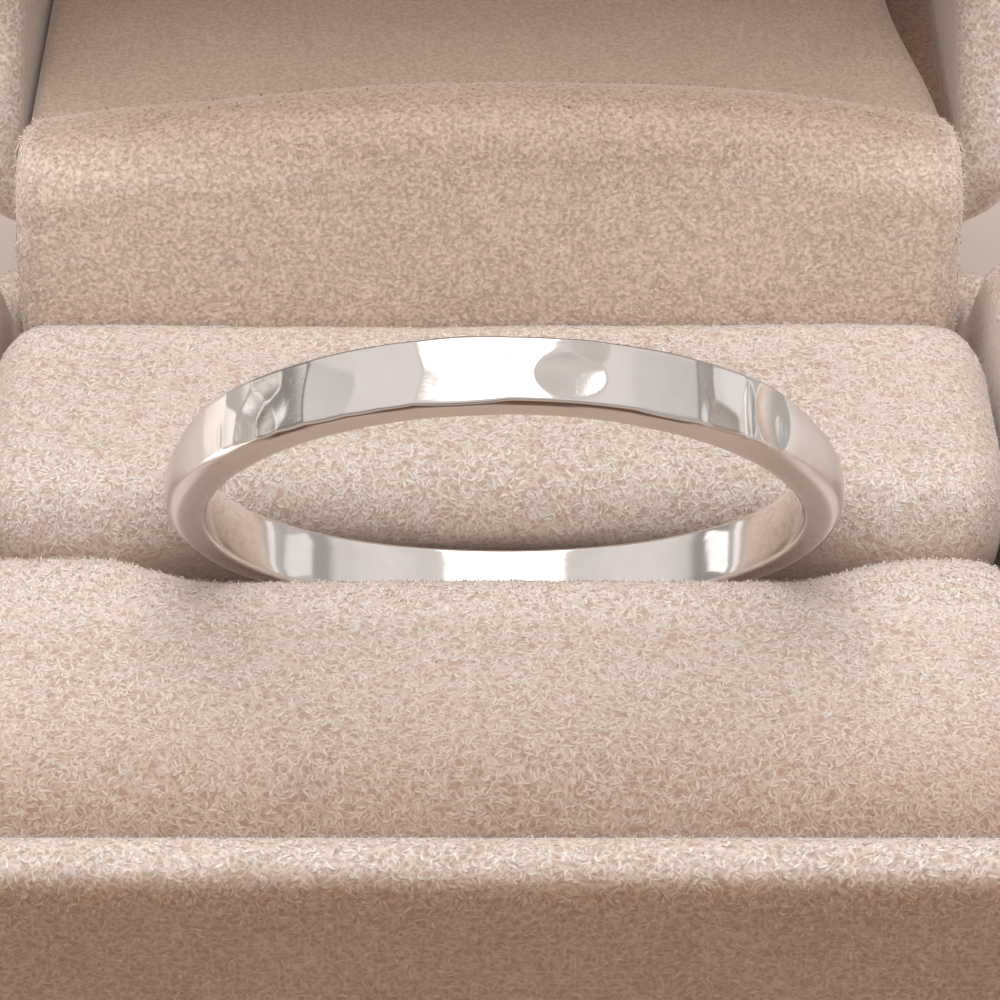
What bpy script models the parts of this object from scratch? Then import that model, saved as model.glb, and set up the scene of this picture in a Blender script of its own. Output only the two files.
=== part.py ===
"""A hammered silver midi ring standing in the slot of a small velvet ring box.

The box is open: its lid is turned back a quarter turn on a hinge pin.
Lengths below are in millimetres and are turned to metres by MM.
X runs across the box, Y runs from its front to its back, Z is up, and the
origin is the middle of the underside of the box.
"""

import math

import bmesh
import bpy

MM = 0.001

# Share of a rounded edge's radius that its middle point lies in from each side
ROUND_MIDDLE = 1.0 - math.sqrt(0.5)

# Ring
RING_INNER_D = 15.9
RING_WALL = 1.12
RING_WIDTH = 1.7
RING_INNER_EDGE_ROUND = 0.18
RING_LEAN_DEG = 33.1
RING_CENTRE = (0.44, -5.59, 18.19)
RING_STEPS = 168

# The hammering left the band a little out of round: radius added as second and third
# waves of the angle from the top.
RING_SECOND_WAVE = -0.075
RING_THIRD_WAVE = 0.20

# The outer edges are crisp where the band is hammered and softly rounded on the shanks.
RING_CRISP_ROUND = 0.18
RING_SHANK_ROUND = 0.48
RING_SHANK_FROM_DEG = 50.0
RING_SHANK_TO_DEG = 70.0
RING_FACE_PLACES = (-0.5, -0.17, 0.17, 0.5)

# Hammer marks on the ring's outer face: angle from the top of the ring towards +X,
# place across the band (plus is the front edge), half length, half width, depth.
HAMMER_COLUMNS = ("angle_deg", "across", "half_length", "half_width", "depth")
HAMMER_MARKS = (
    (-59.0, 0.15, 0.80, 0.60, 0.050),
    (-52.0, -0.35, 0.85, 0.55, 0.045),
    (-50.0, 0.45, 0.80, 0.50, 0.055),
    (-43.5, -0.10, 0.75, 0.75, 0.050),
    (-38.5, 0.45, 0.60, 0.50, 0.050),
    (-32.0, 0.00, 0.90, 0.95, 0.050),
    (-21.5, 0.00, 1.10, 1.00, 0.060),
    (-12.5, -0.42, 0.75, 0.50, 0.050),
    (-13.5, 0.45, 0.70, 0.45, 0.050),
    (-5.0, -0.05, 0.75, 0.75, 0.070),
    (11.3, 0.12, 0.95, 0.62, 0.085),
    (16.0, -0.60, 0.55, 0.35, 0.030),
    (20.5, 0.05, 0.50, 0.80, 0.045),
    (28.8, 0.00, 0.95, 0.75, 0.060),
    (36.5, 0.00, 0.42, 0.80, 0.050),
    (42.0, 0.25, 0.50, 0.50, 0.050),
    (52.0, 0.10, 0.65, 0.80, 0.110),
)

# Box: outer half sizes, walls and the height of the base's rim
BOX_HALF_X = 17.6
BOX_HALF_Y = 17.35
BOX_CORNER = 3.0
WALL = 2.2
FLOOR = 1.6
CORNER_STEPS = 6
CORNER_WAIT = 0.05
FOOT_ROUND = 0.9
BASE_RIM = 15.0

# The rim drops in an S towards the hinge, so that the lid turns clear of it.
SHOULDER_START_Y = 9.75
SHOULDER_END_Y = 15.25
HINGE_DROP = 4.7
RIM_GAP = 0.3
HINGE_GAP = 0.6

# Hinge pin, on the outer face of the back wall between the two rims
HINGE_Y = BOX_HALF_Y
HINGE_Z = BASE_RIM - HINGE_DROP + HINGE_GAP / 2
PIN_RADIUS = 0.38
PIN_LENGTH = 24.0
LID_OPEN_DEG = 90.0

# Lid shell, drawn closed
LID_TOP = 31.0
LID_END_ROUND = 8.0
LID_SIDE_ROUND = 3.2
LID_ROUND_SHARES = (0.93, 0.8, 0.6, 0.35, 0.0)
LID_ROOF_INSETS = (8.4, 6.6, 5.0, 3.6, 2.4, 1.5, 0.8, 0.3, 0.0)
RIM_DROP_STEPS = 8
RIM_ROUND_STEPS = 6

# Lining band inside the lid
LINING_GAP = 0.4
LINING_THICK = 0.8
LINING_FRONT_END = 22.0
LINING_BACK_END = 12.1
LINING_HALF_X = 14.7
LINING_ARC_STEPS = 8

# Velvet rolls in the base
SEAT_GAP = 0.3
ROLL_HALF_X = 15.1
ROLL_CREST = 14.4
ROLL_END_ROUND = 1.6
FRONT_SHOULDER = 4.0
SLOT_SHOULDER_FRONT = 2.0
SLOT_SHOULDER_BACK = 1.8
BACK_SHOULDER = 1.7
BACK_ROLL_END_Y = 8.55
ROLL_FOOT = 0.4
SLOT_CLEARANCE = 0.3
SLOT_SHUT = 0.3
PRESS_FROM = 8.0
PRESS_TO = 11.6
PRESS_STEPS = 4
PRESS_INNER = 4.0
PRESS_OUTER = 12.0

# Pad that rises behind the rolls, in front of the hinge
PAD_HALF_X = 14.45
PAD_FRONT_Y = 8.85
PAD_BACK_Y = 13.65
PAD_LEAN = 0.9
PAD_TOP_MIDDLE = 20.0
PAD_TOP_ENDS = 18.6
PAD_TOP_ROUND = 1.9
PAD_BEND_Z = 13.4
PAD_BEND_ROUND = 4.0
PAD_SIDE_ROUND = 0.7
PAD_PLACES = (-11.0, -7.0, -3.5, 0.0, 3.5, 7.0, 11.0)
FILLET_STEPS = 5
END_STEPS = 4

# Colours as linear red, green, blue
SILVER = (0.83, 0.81, 0.78)
STEEL = (0.55, 0.55, 0.56)
VELVET_LIGHT = (0.72, 0.60, 0.50)
VELVET_MID = (0.66, 0.54, 0.45)
VELVET_SHELL = (0.60, 0.48, 0.39)


def clear_scene():
    for obj in list(bpy.data.objects):
        bpy.data.objects.remove(obj, do_unlink=True)


def make_material(name, colour, roughness, metallic=0.0):
    material = bpy.data.materials.new(name)
    material.use_nodes = True
    shader = material.node_tree.nodes["Principled BSDF"]
    shader.inputs["Base Color"].default_value = (*colour, 1.0)
    shader.inputs["Roughness"].default_value = roughness
    shader.inputs["Metallic"].default_value = metallic
    return material


def add_object(name, bm, material, smooth_deg=40.0):
    """Make a mesh object from a bmesh in millimetres, with outward faces."""
    bmesh.ops.scale(bm, vec=(MM, MM, MM), verts=bm.verts)
    bmesh.ops.recalc_face_normals(bm, faces=bm.faces)
    mesh = bpy.data.meshes.new(name)
    bm.to_mesh(mesh)
    bm.free()
    mesh.shade_smooth()
    mesh.set_sharp_from_angle(angle=math.radians(smooth_deg))
    mesh.materials.append(material)
    obj = bpy.data.objects.new(name, mesh)
    bpy.context.scene.collection.objects.link(obj)
    return obj


def bridge_rows(bm, rows, wrap):
    """Join rows of vertices by quads; wrap also joins the last row to the first."""
    pairs = list(zip(rows, rows[1:]))
    if wrap:
        pairs.append((rows[-1], rows[0]))
    for lower, upper in pairs:
        count = len(lower)
        for i in range(count):
            j = (i + 1) % count
            bm.faces.new((lower[i], lower[j], upper[j], upper[i]))


def loft(rows):
    """Close a body through rows of points, with a flat cap at each end."""
    bm = bmesh.new()
    vert_rows = [[bm.verts.new(point) for point in row] for row in rows]
    bridge_rows(bm, vert_rows, wrap=False)
    bm.faces.new(list(reversed(vert_rows[0])))
    bm.faces.new(vert_rows[-1])
    return bm


def smoothstep(value):
    t = min(max(value, 0.0), 1.0)
    return t * t * (3.0 - 2.0 * t)


# Ring band

def out_of_round(angle):
    """Radius added to the band at an angle from its top."""
    return RING_SECOND_WAVE * math.cos(2 * angle) + RING_THIRD_WAVE * math.cos(3 * angle)


def outer_edge_round(angle):
    """Radius of the band's outer edges: crisp over the top, soft on the shanks."""
    span = RING_SHANK_TO_DEG - RING_SHANK_FROM_DEG
    share = smoothstep((abs(math.degrees(angle)) - RING_SHANK_FROM_DEG) / span)
    return RING_CRISP_ROUND + (RING_SHANK_ROUND - RING_CRISP_ROUND) * share


def ring_section(angle):
    """Outline of the band as (across, outward) from the middle of its wall, with the
    share of the hammering that reaches each point."""
    half_w = RING_WIDTH / 2
    half_t = RING_WALL / 2
    outer = outer_edge_round(angle)
    inner = RING_INNER_EDGE_ROUND
    points = []
    for across in RING_FACE_PLACES:
        points.append((across * (RING_WIDTH - 2 * outer), half_t, 1.0))
    points.append((half_w - ROUND_MIDDLE * outer, half_t - ROUND_MIDDLE * outer, 0.8))
    points.append((half_w, half_t - outer, 0.35))
    points.append((half_w, -half_t + inner, 0.0))
    points.append((half_w - inner, -half_t, 0.0))
    points.append((-half_w + inner, -half_t, 0.0))
    points.append((-half_w, -half_t + inner, 0.0))
    points.append((-half_w, half_t - outer, 0.35))
    points.append((-half_w + ROUND_MIDDLE * outer, half_t - ROUND_MIDDLE * outer, 0.8))
    return points


def hammer_depth(angle, across, outer_radius):
    """How far the hammered face lies below the plain one: the deepest of the marks,
    each a shallow dish with an elliptic edge."""
    depth = 0.0
    for row in HAMMER_MARKS:
        mark = dict(zip(HAMMER_COLUMNS, row))
        along = outer_radius * (angle - math.radians(mark["angle_deg"]))
        u = along / mark["half_length"]
        v = (across - mark["across"]) / mark["half_width"]
        depth = max(depth, mark["depth"] * (1.0 - u * u - v * v))
    return depth


def build_ring(material):
    mid_radius = RING_INNER_D / 2 + RING_WALL / 2
    outer_radius = RING_INNER_D / 2 + RING_WALL
    bm = bmesh.new()
    rows = []
    for step in range(RING_STEPS):
        angle = 2 * math.pi * step / RING_STEPS
        turn = math.remainder(angle, 2 * math.pi)
        row = []
        for across, outward, share in ring_section(turn):
            radius = mid_radius + out_of_round(turn) + outward
            radius -= share * hammer_depth(turn, across, outer_radius)
            row.append(bm.verts.new((radius * math.sin(angle), -across, radius * math.cos(angle))))
        rows.append(row)
    bridge_rows(bm, rows, wrap=True)
    ring = add_object("ring_band", bm, material, smooth_deg=50.0)
    ring.location = [value * MM for value in RING_CENTRE]
    ring.rotation_euler = (math.radians(RING_LEAN_DEG), 0.0, 0.0)
    return ring


# Box shells

def side_stations(limit):
    """Y places along a side wall between its corners: closer together where the lid's
    front edge is rounded and where the rim drops. Those past a corner wait beside it."""
    round_start = BOX_HALF_Y - LID_END_ROUND
    span = SHOULDER_END_Y - SHOULDER_START_Y
    stations = [-round_start - (LID_END_ROUND - WALL) * share for share in LID_ROUND_SHARES]
    stations += [0.0]
    stations += [SHOULDER_START_Y + span * i / RIM_DROP_STEPS for i in range(RIM_DROP_STEPS)]
    last = len(stations) - 1
    kept = []
    for i, y in enumerate(stations):
        low = -limit + CORNER_WAIT * (i + 1)
        high = limit - CORNER_WAIT * (last - i + 1)
        kept.append(min(max(y, low), high))
    return kept


def outline(inset):
    """Rounded rectangle of the box, drawn in by inset, with the side stations."""
    half_x = BOX_HALF_X - inset
    half_y = BOX_HALF_Y - inset
    r = max(BOX_CORNER - inset, 0.5)
    limit = half_y - r
    stations = side_stations(limit)
    corners = ((half_x - r, limit, 0.0), (-half_x + r, limit, 90.0),
               (-half_x + r, -limit, 180.0), (half_x - r, -limit, 270.0))
    points = []
    for index, (cx, cy, start) in enumerate(corners):
        for i in range(CORNER_STEPS + 1):
            a = math.radians(start + 90.0 * i / CORNER_STEPS)
            points.append((cx + r * math.cos(a), cy + r * math.sin(a)))
        if index == 1:
            points += [(-half_x, y) for y in reversed(stations)]
        if index == 3:
            points += [(half_x, y) for y in stations]
    return points


def rim_drop(y):
    """How far the rim lies below its front height at y."""
    return HINGE_DROP * smoothstep((y - SHOULDER_START_Y) / (SHOULDER_END_Y - SHOULDER_START_Y))


def base_rim(y):
    return BASE_RIM - rim_drop(y)


def lid_rim(y):
    share = rim_drop(y) / HINGE_DROP
    return base_rim(y) + RIM_GAP + (HINGE_GAP - RIM_GAP) * share


def wall_top_steps():
    """Inset and height steps over a rim that is a full round as wide as the wall."""
    r = WALL / 2
    steps = []
    for i in range(RIM_ROUND_STEPS + 1):
        a = math.pi * i / RIM_ROUND_STEPS
        steps.append((r - r * math.cos(a), r * math.sin(a)))
    return steps


def build_base(material):
    r = WALL / 2
    rows = []
    middle = ROUND_MIDDLE * FOOT_ROUND
    foot = ((FOOT_ROUND, 0.0), (middle, middle), (0.0, FOOT_ROUND))
    for inset, height in foot:
        rows.append([(x, y, height) for x, y in outline(inset)])
    for inset, rise in wall_top_steps():
        rows.append([(x, y, base_rim(y) - r + rise) for x, y in outline(inset)])
    rows.append([(x, y, FLOOR) for x, y in outline(WALL)])
    return add_object("box_base", loft(rows), material)


def lid_height(x, y, inset, top):
    """Height of the lid's roof over a point: its front and back edges are rounded by a
    large arc, and its side edges by a small one."""
    half_x = BOX_HALF_X - inset
    half_y = BOX_HALF_Y - inset
    end_r = LID_END_ROUND - inset
    side_r = LID_SIDE_ROUND - inset
    over_y = min(max(abs(y) - (half_y - end_r), 0.0), end_r)
    over_x = min(max(abs(x) - (half_x - side_r), 0.0), side_r)
    return (top - end_r + math.sqrt(end_r ** 2 - over_y ** 2)
            - side_r + math.sqrt(side_r ** 2 - over_x ** 2))


def build_lid_shell(material):
    r = WALL / 2
    inner_top = LID_TOP - WALL
    rows = []
    for step in LID_ROOF_INSETS:
        rows.append([(x, y, lid_height(x, y, WALL, inner_top)) for x, y in outline(WALL + step)])
    for inset, rise in reversed(wall_top_steps()):
        rows.append([(x, y, lid_rim(y) + r - rise) for x, y in outline(inset)])
    for step in reversed(LID_ROOF_INSETS):
        rows.append([(x, y, lid_height(x, y, 0.0, LID_TOP)) for x, y in outline(step)])
    hinge_rows = [[(x, y - HINGE_Y, z - HINGE_Z) for x, y, z in row] for row in rows]
    return add_object("lid_shell", loft(hinge_rows), material)


# Soft pieces: each is a rounded outline in Y and Z carried across the box in X

def fillet(corners):
    """Round the corners of a polygon; each corner is (y, z, radius)."""
    points = []
    count = len(corners)
    for i, (y, z, radius) in enumerate(corners):
        y0, z0, _ = corners[i - 1]
        y1, z1, _ = corners[(i + 1) % count]
        ay, az = y0 - y, z0 - z
        by, bz = y1 - y, z1 - z
        a_len = math.hypot(ay, az)
        b_len = math.hypot(by, bz)
        ay, az, by, bz = ay / a_len, az / a_len, by / b_len, bz / b_len
        half = math.acos(max(-1.0, min(1.0, ay * by + az * bz))) / 2
        reach = radius / math.tan(half)
        centre_dist = radius / math.sin(half)
        my, mz = ay + by, az + bz
        m_len = math.hypot(my, mz)
        cy, cz = y + my / m_len * centre_dist, z + mz / m_len * centre_dist
        start = math.atan2(z + az * reach - cz, y + ay * reach - cy)
        end = math.atan2(z + bz * reach - cz, y + by * reach - cy)
        sweep = math.remainder(end - start, 2 * math.pi)
        for k in range(FILLET_STEPS + 1):
            a = start + sweep * k / FILLET_STEPS
            points.append((cy + radius * math.cos(a), cz + radius * math.sin(a)))
    return points


def end_stations(half_x, round_r, middle):
    """X places with the inset that rounds each end of a soft piece."""
    right = []
    for i in range(END_STEPS):
        a = math.pi / 2 * i / END_STEPS
        right.append((half_x - round_r + round_r * math.cos(a), round_r - round_r * math.sin(a)))
    left = [(-x, inset) for x, inset in right]
    inner = [(x, 0.0) for x in middle]
    return left + inner + list(reversed(right))


def press(x):
    """1 where the ring spreads the slot, easing to 0 beside it."""
    return 1.0 - smoothstep((abs(x - RING_CENTRE[0]) - PRESS_FROM) / (PRESS_TO - PRESS_FROM))


def slot_wall_y(z, x, side):
    """Y of the slot's front (side -1) or back (side +1) wall at height z.
    The slot lies along the ring's own plane."""
    lean = math.radians(RING_LEAN_DEG)
    middle = RING_CENTRE[1] + (RING_CENTRE[2] - z) * math.tan(lean)
    spread = RING_WIDTH / 2 + SLOT_CLEARANCE
    half_gap = SLOT_SHUT + (spread - SLOT_SHUT) * press(x)
    return middle + side * half_gap / math.cos(lean)


def front_roll_section(x, inset):
    front = -BOX_HALF_Y + WALL + SEAT_GAP + inset
    bottom = FLOOR + SEAT_GAP
    top = ROLL_CREST - inset
    slope = inset / math.cos(math.radians(RING_LEAN_DEG))
    corners = (
        (front, bottom, ROLL_FOOT),
        (slot_wall_y(bottom, x, -1) - slope, bottom, ROLL_FOOT),
        (slot_wall_y(top, x, -1) - slope, top, SLOT_SHOULDER_FRONT),
        (front, top, FRONT_SHOULDER),
    )
    return fillet(corners)


def back_roll_section(x, inset):
    back = BACK_ROLL_END_Y - inset
    bottom = FLOOR + SEAT_GAP
    top = ROLL_CREST - inset
    slope = inset / math.cos(math.radians(RING_LEAN_DEG))
    corners = (
        (slot_wall_y(bottom, x, 1) + slope, bottom, ROLL_FOOT),
        (back, bottom, ROLL_FOOT),
        (back, top, BACK_SHOULDER),
        (slot_wall_y(top, x, 1) + slope, top, SLOT_SHOULDER_BACK),
    )
    return fillet(corners)


def pad_section(x, inset):
    rise = (PAD_TOP_MIDDLE - PAD_TOP_ENDS) * (1.0 - (x / PAD_HALF_X) ** 2)
    top = PAD_TOP_ENDS + rise - inset
    bottom = FLOOR + SEAT_GAP
    corners = (
        (PAD_FRONT_Y + inset, bottom, ROLL_FOOT),
        (PAD_BACK_Y - inset, bottom, ROLL_FOOT),
        (PAD_BACK_Y - inset, top, PAD_TOP_ROUND),
        (PAD_FRONT_Y + PAD_LEAN + inset, top, PAD_TOP_ROUND),
        (PAD_FRONT_Y + inset, PAD_BEND_Z, PAD_BEND_ROUND),
    )
    return fillet(corners)


def build_soft(name, section, half_x, round_r, middle, material):
    rows = []
    for x, inset in end_stations(half_x, round_r, middle):
        rows.append([(x, y, z) for y, z in section(x, inset)])
    return add_object(name, loft(rows), material)


def press_stations():
    """X places that follow the spread of the slot on both sides of the ring."""
    offsets = [PRESS_INNER]
    offsets += [PRESS_FROM + (PRESS_TO - PRESS_FROM) * i / PRESS_STEPS for i in range(PRESS_STEPS + 1)]
    offsets += [PRESS_OUTER]
    centre = RING_CENTRE[0]
    places = [centre - value for value in reversed(offsets)]
    places += [centre]
    places += [centre + value for value in offsets]
    return places


def lining_path(inset):
    """Closed-lid path of the lining's inner or outer face, inset from the shell's outside,
    from the hinge over the roof to the front."""
    half_y = BOX_HALF_Y - inset
    top = LID_TOP - inset
    r = LID_END_ROUND - inset
    points = [(half_y, LINING_BACK_END)]
    for i in range(LINING_ARC_STEPS + 1):
        a = math.pi / 2 * i / LINING_ARC_STEPS
        points.append((half_y - r + r * math.cos(a), top - r + r * math.sin(a)))
    points.append((0.0, top))
    for i in range(LINING_ARC_STEPS + 1):
        a = math.pi / 2 * i / LINING_ARC_STEPS
        points.append((-half_y + r - r * math.sin(a), top - r + r * math.cos(a)))
    points.append((-half_y, LINING_FRONT_END))
    return points


def build_lining(material):
    outer = lining_path(WALL + LINING_GAP)
    inner = lining_path(WALL + LINING_GAP + LINING_THICK)
    section = outer + list(reversed(inner))
    rows = []
    for x in (-LINING_HALF_X, 0.0, LINING_HALF_X):
        rows.append([(x, y - HINGE_Y, z - HINGE_Z) for y, z in section])
    return add_object("lid_lining", loft(rows), material)


def build_pin(material):
    bm = bmesh.new()
    bmesh.ops.create_cone(bm, cap_ends=True, segments=16, radius1=PIN_RADIUS,
                          radius2=PIN_RADIUS, depth=PIN_LENGTH)
    pin = add_object("hinge_pin", bm, material)
    pin.rotation_euler = (0.0, math.radians(90.0), 0.0)
    pin.location = (0.0, HINGE_Y * MM, HINGE_Z * MM)
    return pin


def hang_on_hinge(pieces):
    """Parent the lid's pieces to an empty on the hinge axis and turn it open."""
    hinge = bpy.data.objects.new("lid_hinge_axis", None)
    bpy.context.scene.collection.objects.link(hinge)
    hinge.location = (0.0, HINGE_Y * MM, HINGE_Z * MM)
    hinge.rotation_euler = (-math.radians(LID_OPEN_DEG), 0.0, 0.0)
    for piece in pieces:
        piece.parent = hinge
    return hinge


def main():
    clear_scene()
    silver = make_material("polished_silver", SILVER, 0.12, 1.0)
    steel = make_material("hinge_steel", STEEL, 0.35, 1.0)
    roll_velvet = make_material("roll_velvet", VELVET_LIGHT, 0.95)
    lining_velvet = make_material("lining_velvet", VELVET_MID, 0.95)
    shell_velvet = make_material("shell_velvet", VELVET_SHELL, 0.95)

    build_ring(silver)
    build_base(shell_velvet)
    build_pin(steel)
    middle = press_stations()
    build_soft("front_roll", front_roll_section, ROLL_HALF_X, ROLL_END_ROUND, middle, roll_velvet)
    build_soft("back_roll", back_roll_section, ROLL_HALF_X, ROLL_END_ROUND, middle, roll_velvet)
    build_soft("hinge_pad", pad_section, PAD_HALF_X, PAD_SIDE_ROUND, PAD_PLACES, roll_velvet)
    lid_shell = build_lid_shell(shell_velvet)
    lid_lining = build_lining(lining_velvet)
    hang_on_hinge([lid_shell, lid_lining])


main()
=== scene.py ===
# %% [markdown]
# # A hammered midi ring in its velvet box
#
# The object is a small silver band, hammered over its top, gripped by the slot of an open ring box.
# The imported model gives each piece's size and place, and this script gives the looks: a finer ring
# with its hammer marks, and velvet surfaces with their pile. Lengths are in millimetres until a mesh
# is made, because that is how a jeweller and a box maker would give them.

# %% Load the fixed model
import math

import bpy
import numpy as np
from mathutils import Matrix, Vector


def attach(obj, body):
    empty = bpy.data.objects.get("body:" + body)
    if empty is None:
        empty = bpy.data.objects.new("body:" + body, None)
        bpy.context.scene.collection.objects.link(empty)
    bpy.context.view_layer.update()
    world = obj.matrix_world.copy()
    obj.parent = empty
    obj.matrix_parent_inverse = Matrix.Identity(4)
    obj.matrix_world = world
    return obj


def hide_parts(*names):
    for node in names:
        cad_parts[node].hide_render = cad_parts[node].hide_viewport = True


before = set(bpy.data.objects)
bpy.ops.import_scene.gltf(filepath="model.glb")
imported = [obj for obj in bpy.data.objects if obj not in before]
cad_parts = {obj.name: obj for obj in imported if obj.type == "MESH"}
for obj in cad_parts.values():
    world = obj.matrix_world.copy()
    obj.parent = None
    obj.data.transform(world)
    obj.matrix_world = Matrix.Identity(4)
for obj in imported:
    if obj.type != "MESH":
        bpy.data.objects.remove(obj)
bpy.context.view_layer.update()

MM = 0.001

# %% [markdown]
# ## The camera
#
# The photograph looks down on the ring from the front, with a long lens close to the box, so the
# camera is the first thing to settle: every later choice is looked at through it.

# %% Camera
CAMERA_AT = (0.32, -84.89, 79.80)
CAMERA_DOWN_DEG = 38.0
SENSOR = 36.0
FOCAL = 134.3


def new_object(name, data):
    """An object for the data, linked into the scene."""
    obj = bpy.data.objects.new(name, data)
    bpy.context.scene.collection.objects.link(obj)
    return obj


camera_data = bpy.data.cameras.new("photo_camera")
camera_data.sensor_width = SENSOR
camera_data.lens = FOCAL
camera_data.clip_start = 1.0 * MM
camera = new_object("photo_camera", camera_data)
camera.location = [value * MM for value in CAMERA_AT]
camera.rotation_euler = (math.radians(90.0 - CAMERA_DOWN_DEG), 0.0, 0.0)
bpy.context.scene.camera = camera
bpy.context.scene.view_settings.view_transform = "Standard"
print("camera:", FOCAL, "mm lens, looking down by", CAMERA_DOWN_DEG, "degrees")

# %% [markdown]
# ## Helpers for surfaces
#
# Every new piece is a surface worked out with whole numpy arrays. Rows of points are joined by quads,
# and a closed form gets a flat cap at each end. The sign of the enclosed volume tells whether the
# faces point outwards, so no piece can end up inside out.

# %% Meshes from rows of points
def unit(vectors):
    """Each vector divided by its own length."""
    return vectors / np.linalg.norm(vectors, axis=-1, keepdims=True)


def signed_volume(points, quads):
    """Sum of the tetrahedra from the origin to each half of each quad: positive when faces look out."""
    a, b, c, d = (points[quads[:, k]] for k in range(4))
    return np.einsum("ij,ij->", a, np.cross(b, c) + np.cross(c, d)) / 6.0


def row_quads(rows, columns, wrap_rows):
    """Corner indices of the quads between neighbouring rows; the columns always close on themselves."""
    i = np.arange(rows if wrap_rows else rows - 1)[:, None]
    j = np.arange(columns)[None, :]
    i_next, j_next = (i + 1) % rows, (j + 1) % columns
    quads = np.stack([i * columns + j, i * columns + j_next,
                      i_next * columns + j_next, i_next * columns + j], axis=-1)
    return quads.reshape(-1, 4)


def surface_object(name, rows_mm, wrap_rows=False):
    """Mesh object from an array of rows of points in millimetres, (row, column, xyz). Without
    wrap_rows the first and last rows are closed by caps."""
    rows, columns = rows_mm.shape[:2]
    points = rows_mm.reshape(-1, 3) * MM
    quads = row_quads(rows, columns, wrap_rows)
    flip = signed_volume(points, quads) < 0
    faces = (quads[:, ::-1] if flip else quads).tolist()
    if not wrap_rows:
        first = list(range(columns))
        last = [(rows - 1) * columns + k for k in range(columns)]
        faces += [first, last[::-1]] if flip else [first[::-1], last]
    mesh = bpy.data.meshes.new(name)
    mesh.from_pydata(points.tolist(), [], faces)
    mesh.shade_smooth()
    print(name, "faces:", len(faces))
    return new_object(name, mesh)


def vertex_arrays(obj):
    """Vertex places in millimetres and vertex normals, as arrays."""
    places, normals = np.empty((2, len(obj.data.vertices) * 3), np.float32)
    obj.data.vertices.foreach_get("co", places)
    obj.data.vertex_normals.foreach_get("vector", normals)
    return places.reshape(-1, 3).astype(float) / MM, normals.reshape(-1, 3).astype(float)


def store_floats(mesh, attribute, values):
    """One number for each vertex, under a name that a material can read."""
    data = mesh.attributes.new(attribute, "FLOAT", "POINT").data
    data.foreach_set("value", np.asarray(values, np.float32).ravel())


# %% [markdown]
# ## Noise for soft surfaces
#
# Foam under velvet is never quite even. Gradient noise gives it slow swells: each corner of a cubic
# lattice gets a random direction, and the eight dot products round a point are blended smoothly.

# %% Gradient noise
LATTICE = 256
LATTICE_START = 1000.0
NOISE_GAIN = 1.6


def gradient_noise(places, wavelength, seed):
    """Noise from about -1 to 1 at places in millimetres, with cells of the given wavelength."""
    rng = np.random.default_rng(seed)
    directions = unit(rng.normal(size=(LATTICE, 3)))
    shuffle = rng.permutation(LATTICE)
    cells = places / wavelength + LATTICE_START
    corner = np.floor(cells).astype(int)
    inside = cells - corner
    fade = inside ** 3 * (inside * (inside * 6.0 - 15.0) + 10.0)
    total = np.zeros(len(places))
    for step in np.ndindex(2, 2, 2):
        key = np.zeros(len(places), int)
        for axis in range(3):
            key = shuffle[(key + corner[:, axis] + step[axis]) % LATTICE]
        dots = np.einsum("ij,ij->i", directions[key], inside - step)
        total += dots * np.where(step, fade, 1.0 - fade).prod(axis=1)
    return total * NOISE_GAIN


def ease(value, start, end):
    """0 at start and before it, 1 at end and beyond, and an S between. Either may be the larger."""
    t = np.clip((value - start) / (end - start), 0.0, 1.0)
    return t * t * (3.0 - 2.0 * t)


# %% [markdown]
# ## The silver band
#
# The real ring is a strip of sterling silver bent round, soldered, and then hammered over its top on
# a steel mandrel. Each blow leaves a shallow dish, and two dishes meet in a ridge. So the face is the
# ring's cylinder lowered by the deepest dish at each point. A dish that is about as hollow as the band
# is round looks like a flat facet, which is what gives hammered silver its separate tones. Over the
# top the edges are crisp. The shanks were filed and worn round, and have a satin finish.

# %% Band dimensions
RING_INNER_R = 15.9 / 2
RING_WALL = 1.12
RING_WIDTH = 1.7
RING_OUTER_R = RING_INNER_R + RING_WALL
RING_CENTRE = np.array((0.44, -5.59, 18.19))
RING_LEAN = math.radians(33.1)
SECOND_WAVE = -0.075
THIRD_WAVE = 0.20
INNER_EDGE_ROUND = 0.14
CRISP_ROUND = 0.09
SHANK_POWER = 2.3
SHANK_FROM_DEG = 50.0
SHANK_TO_DEG = 76.0
SHANK_SHIFT_DEG = 4.0

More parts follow.
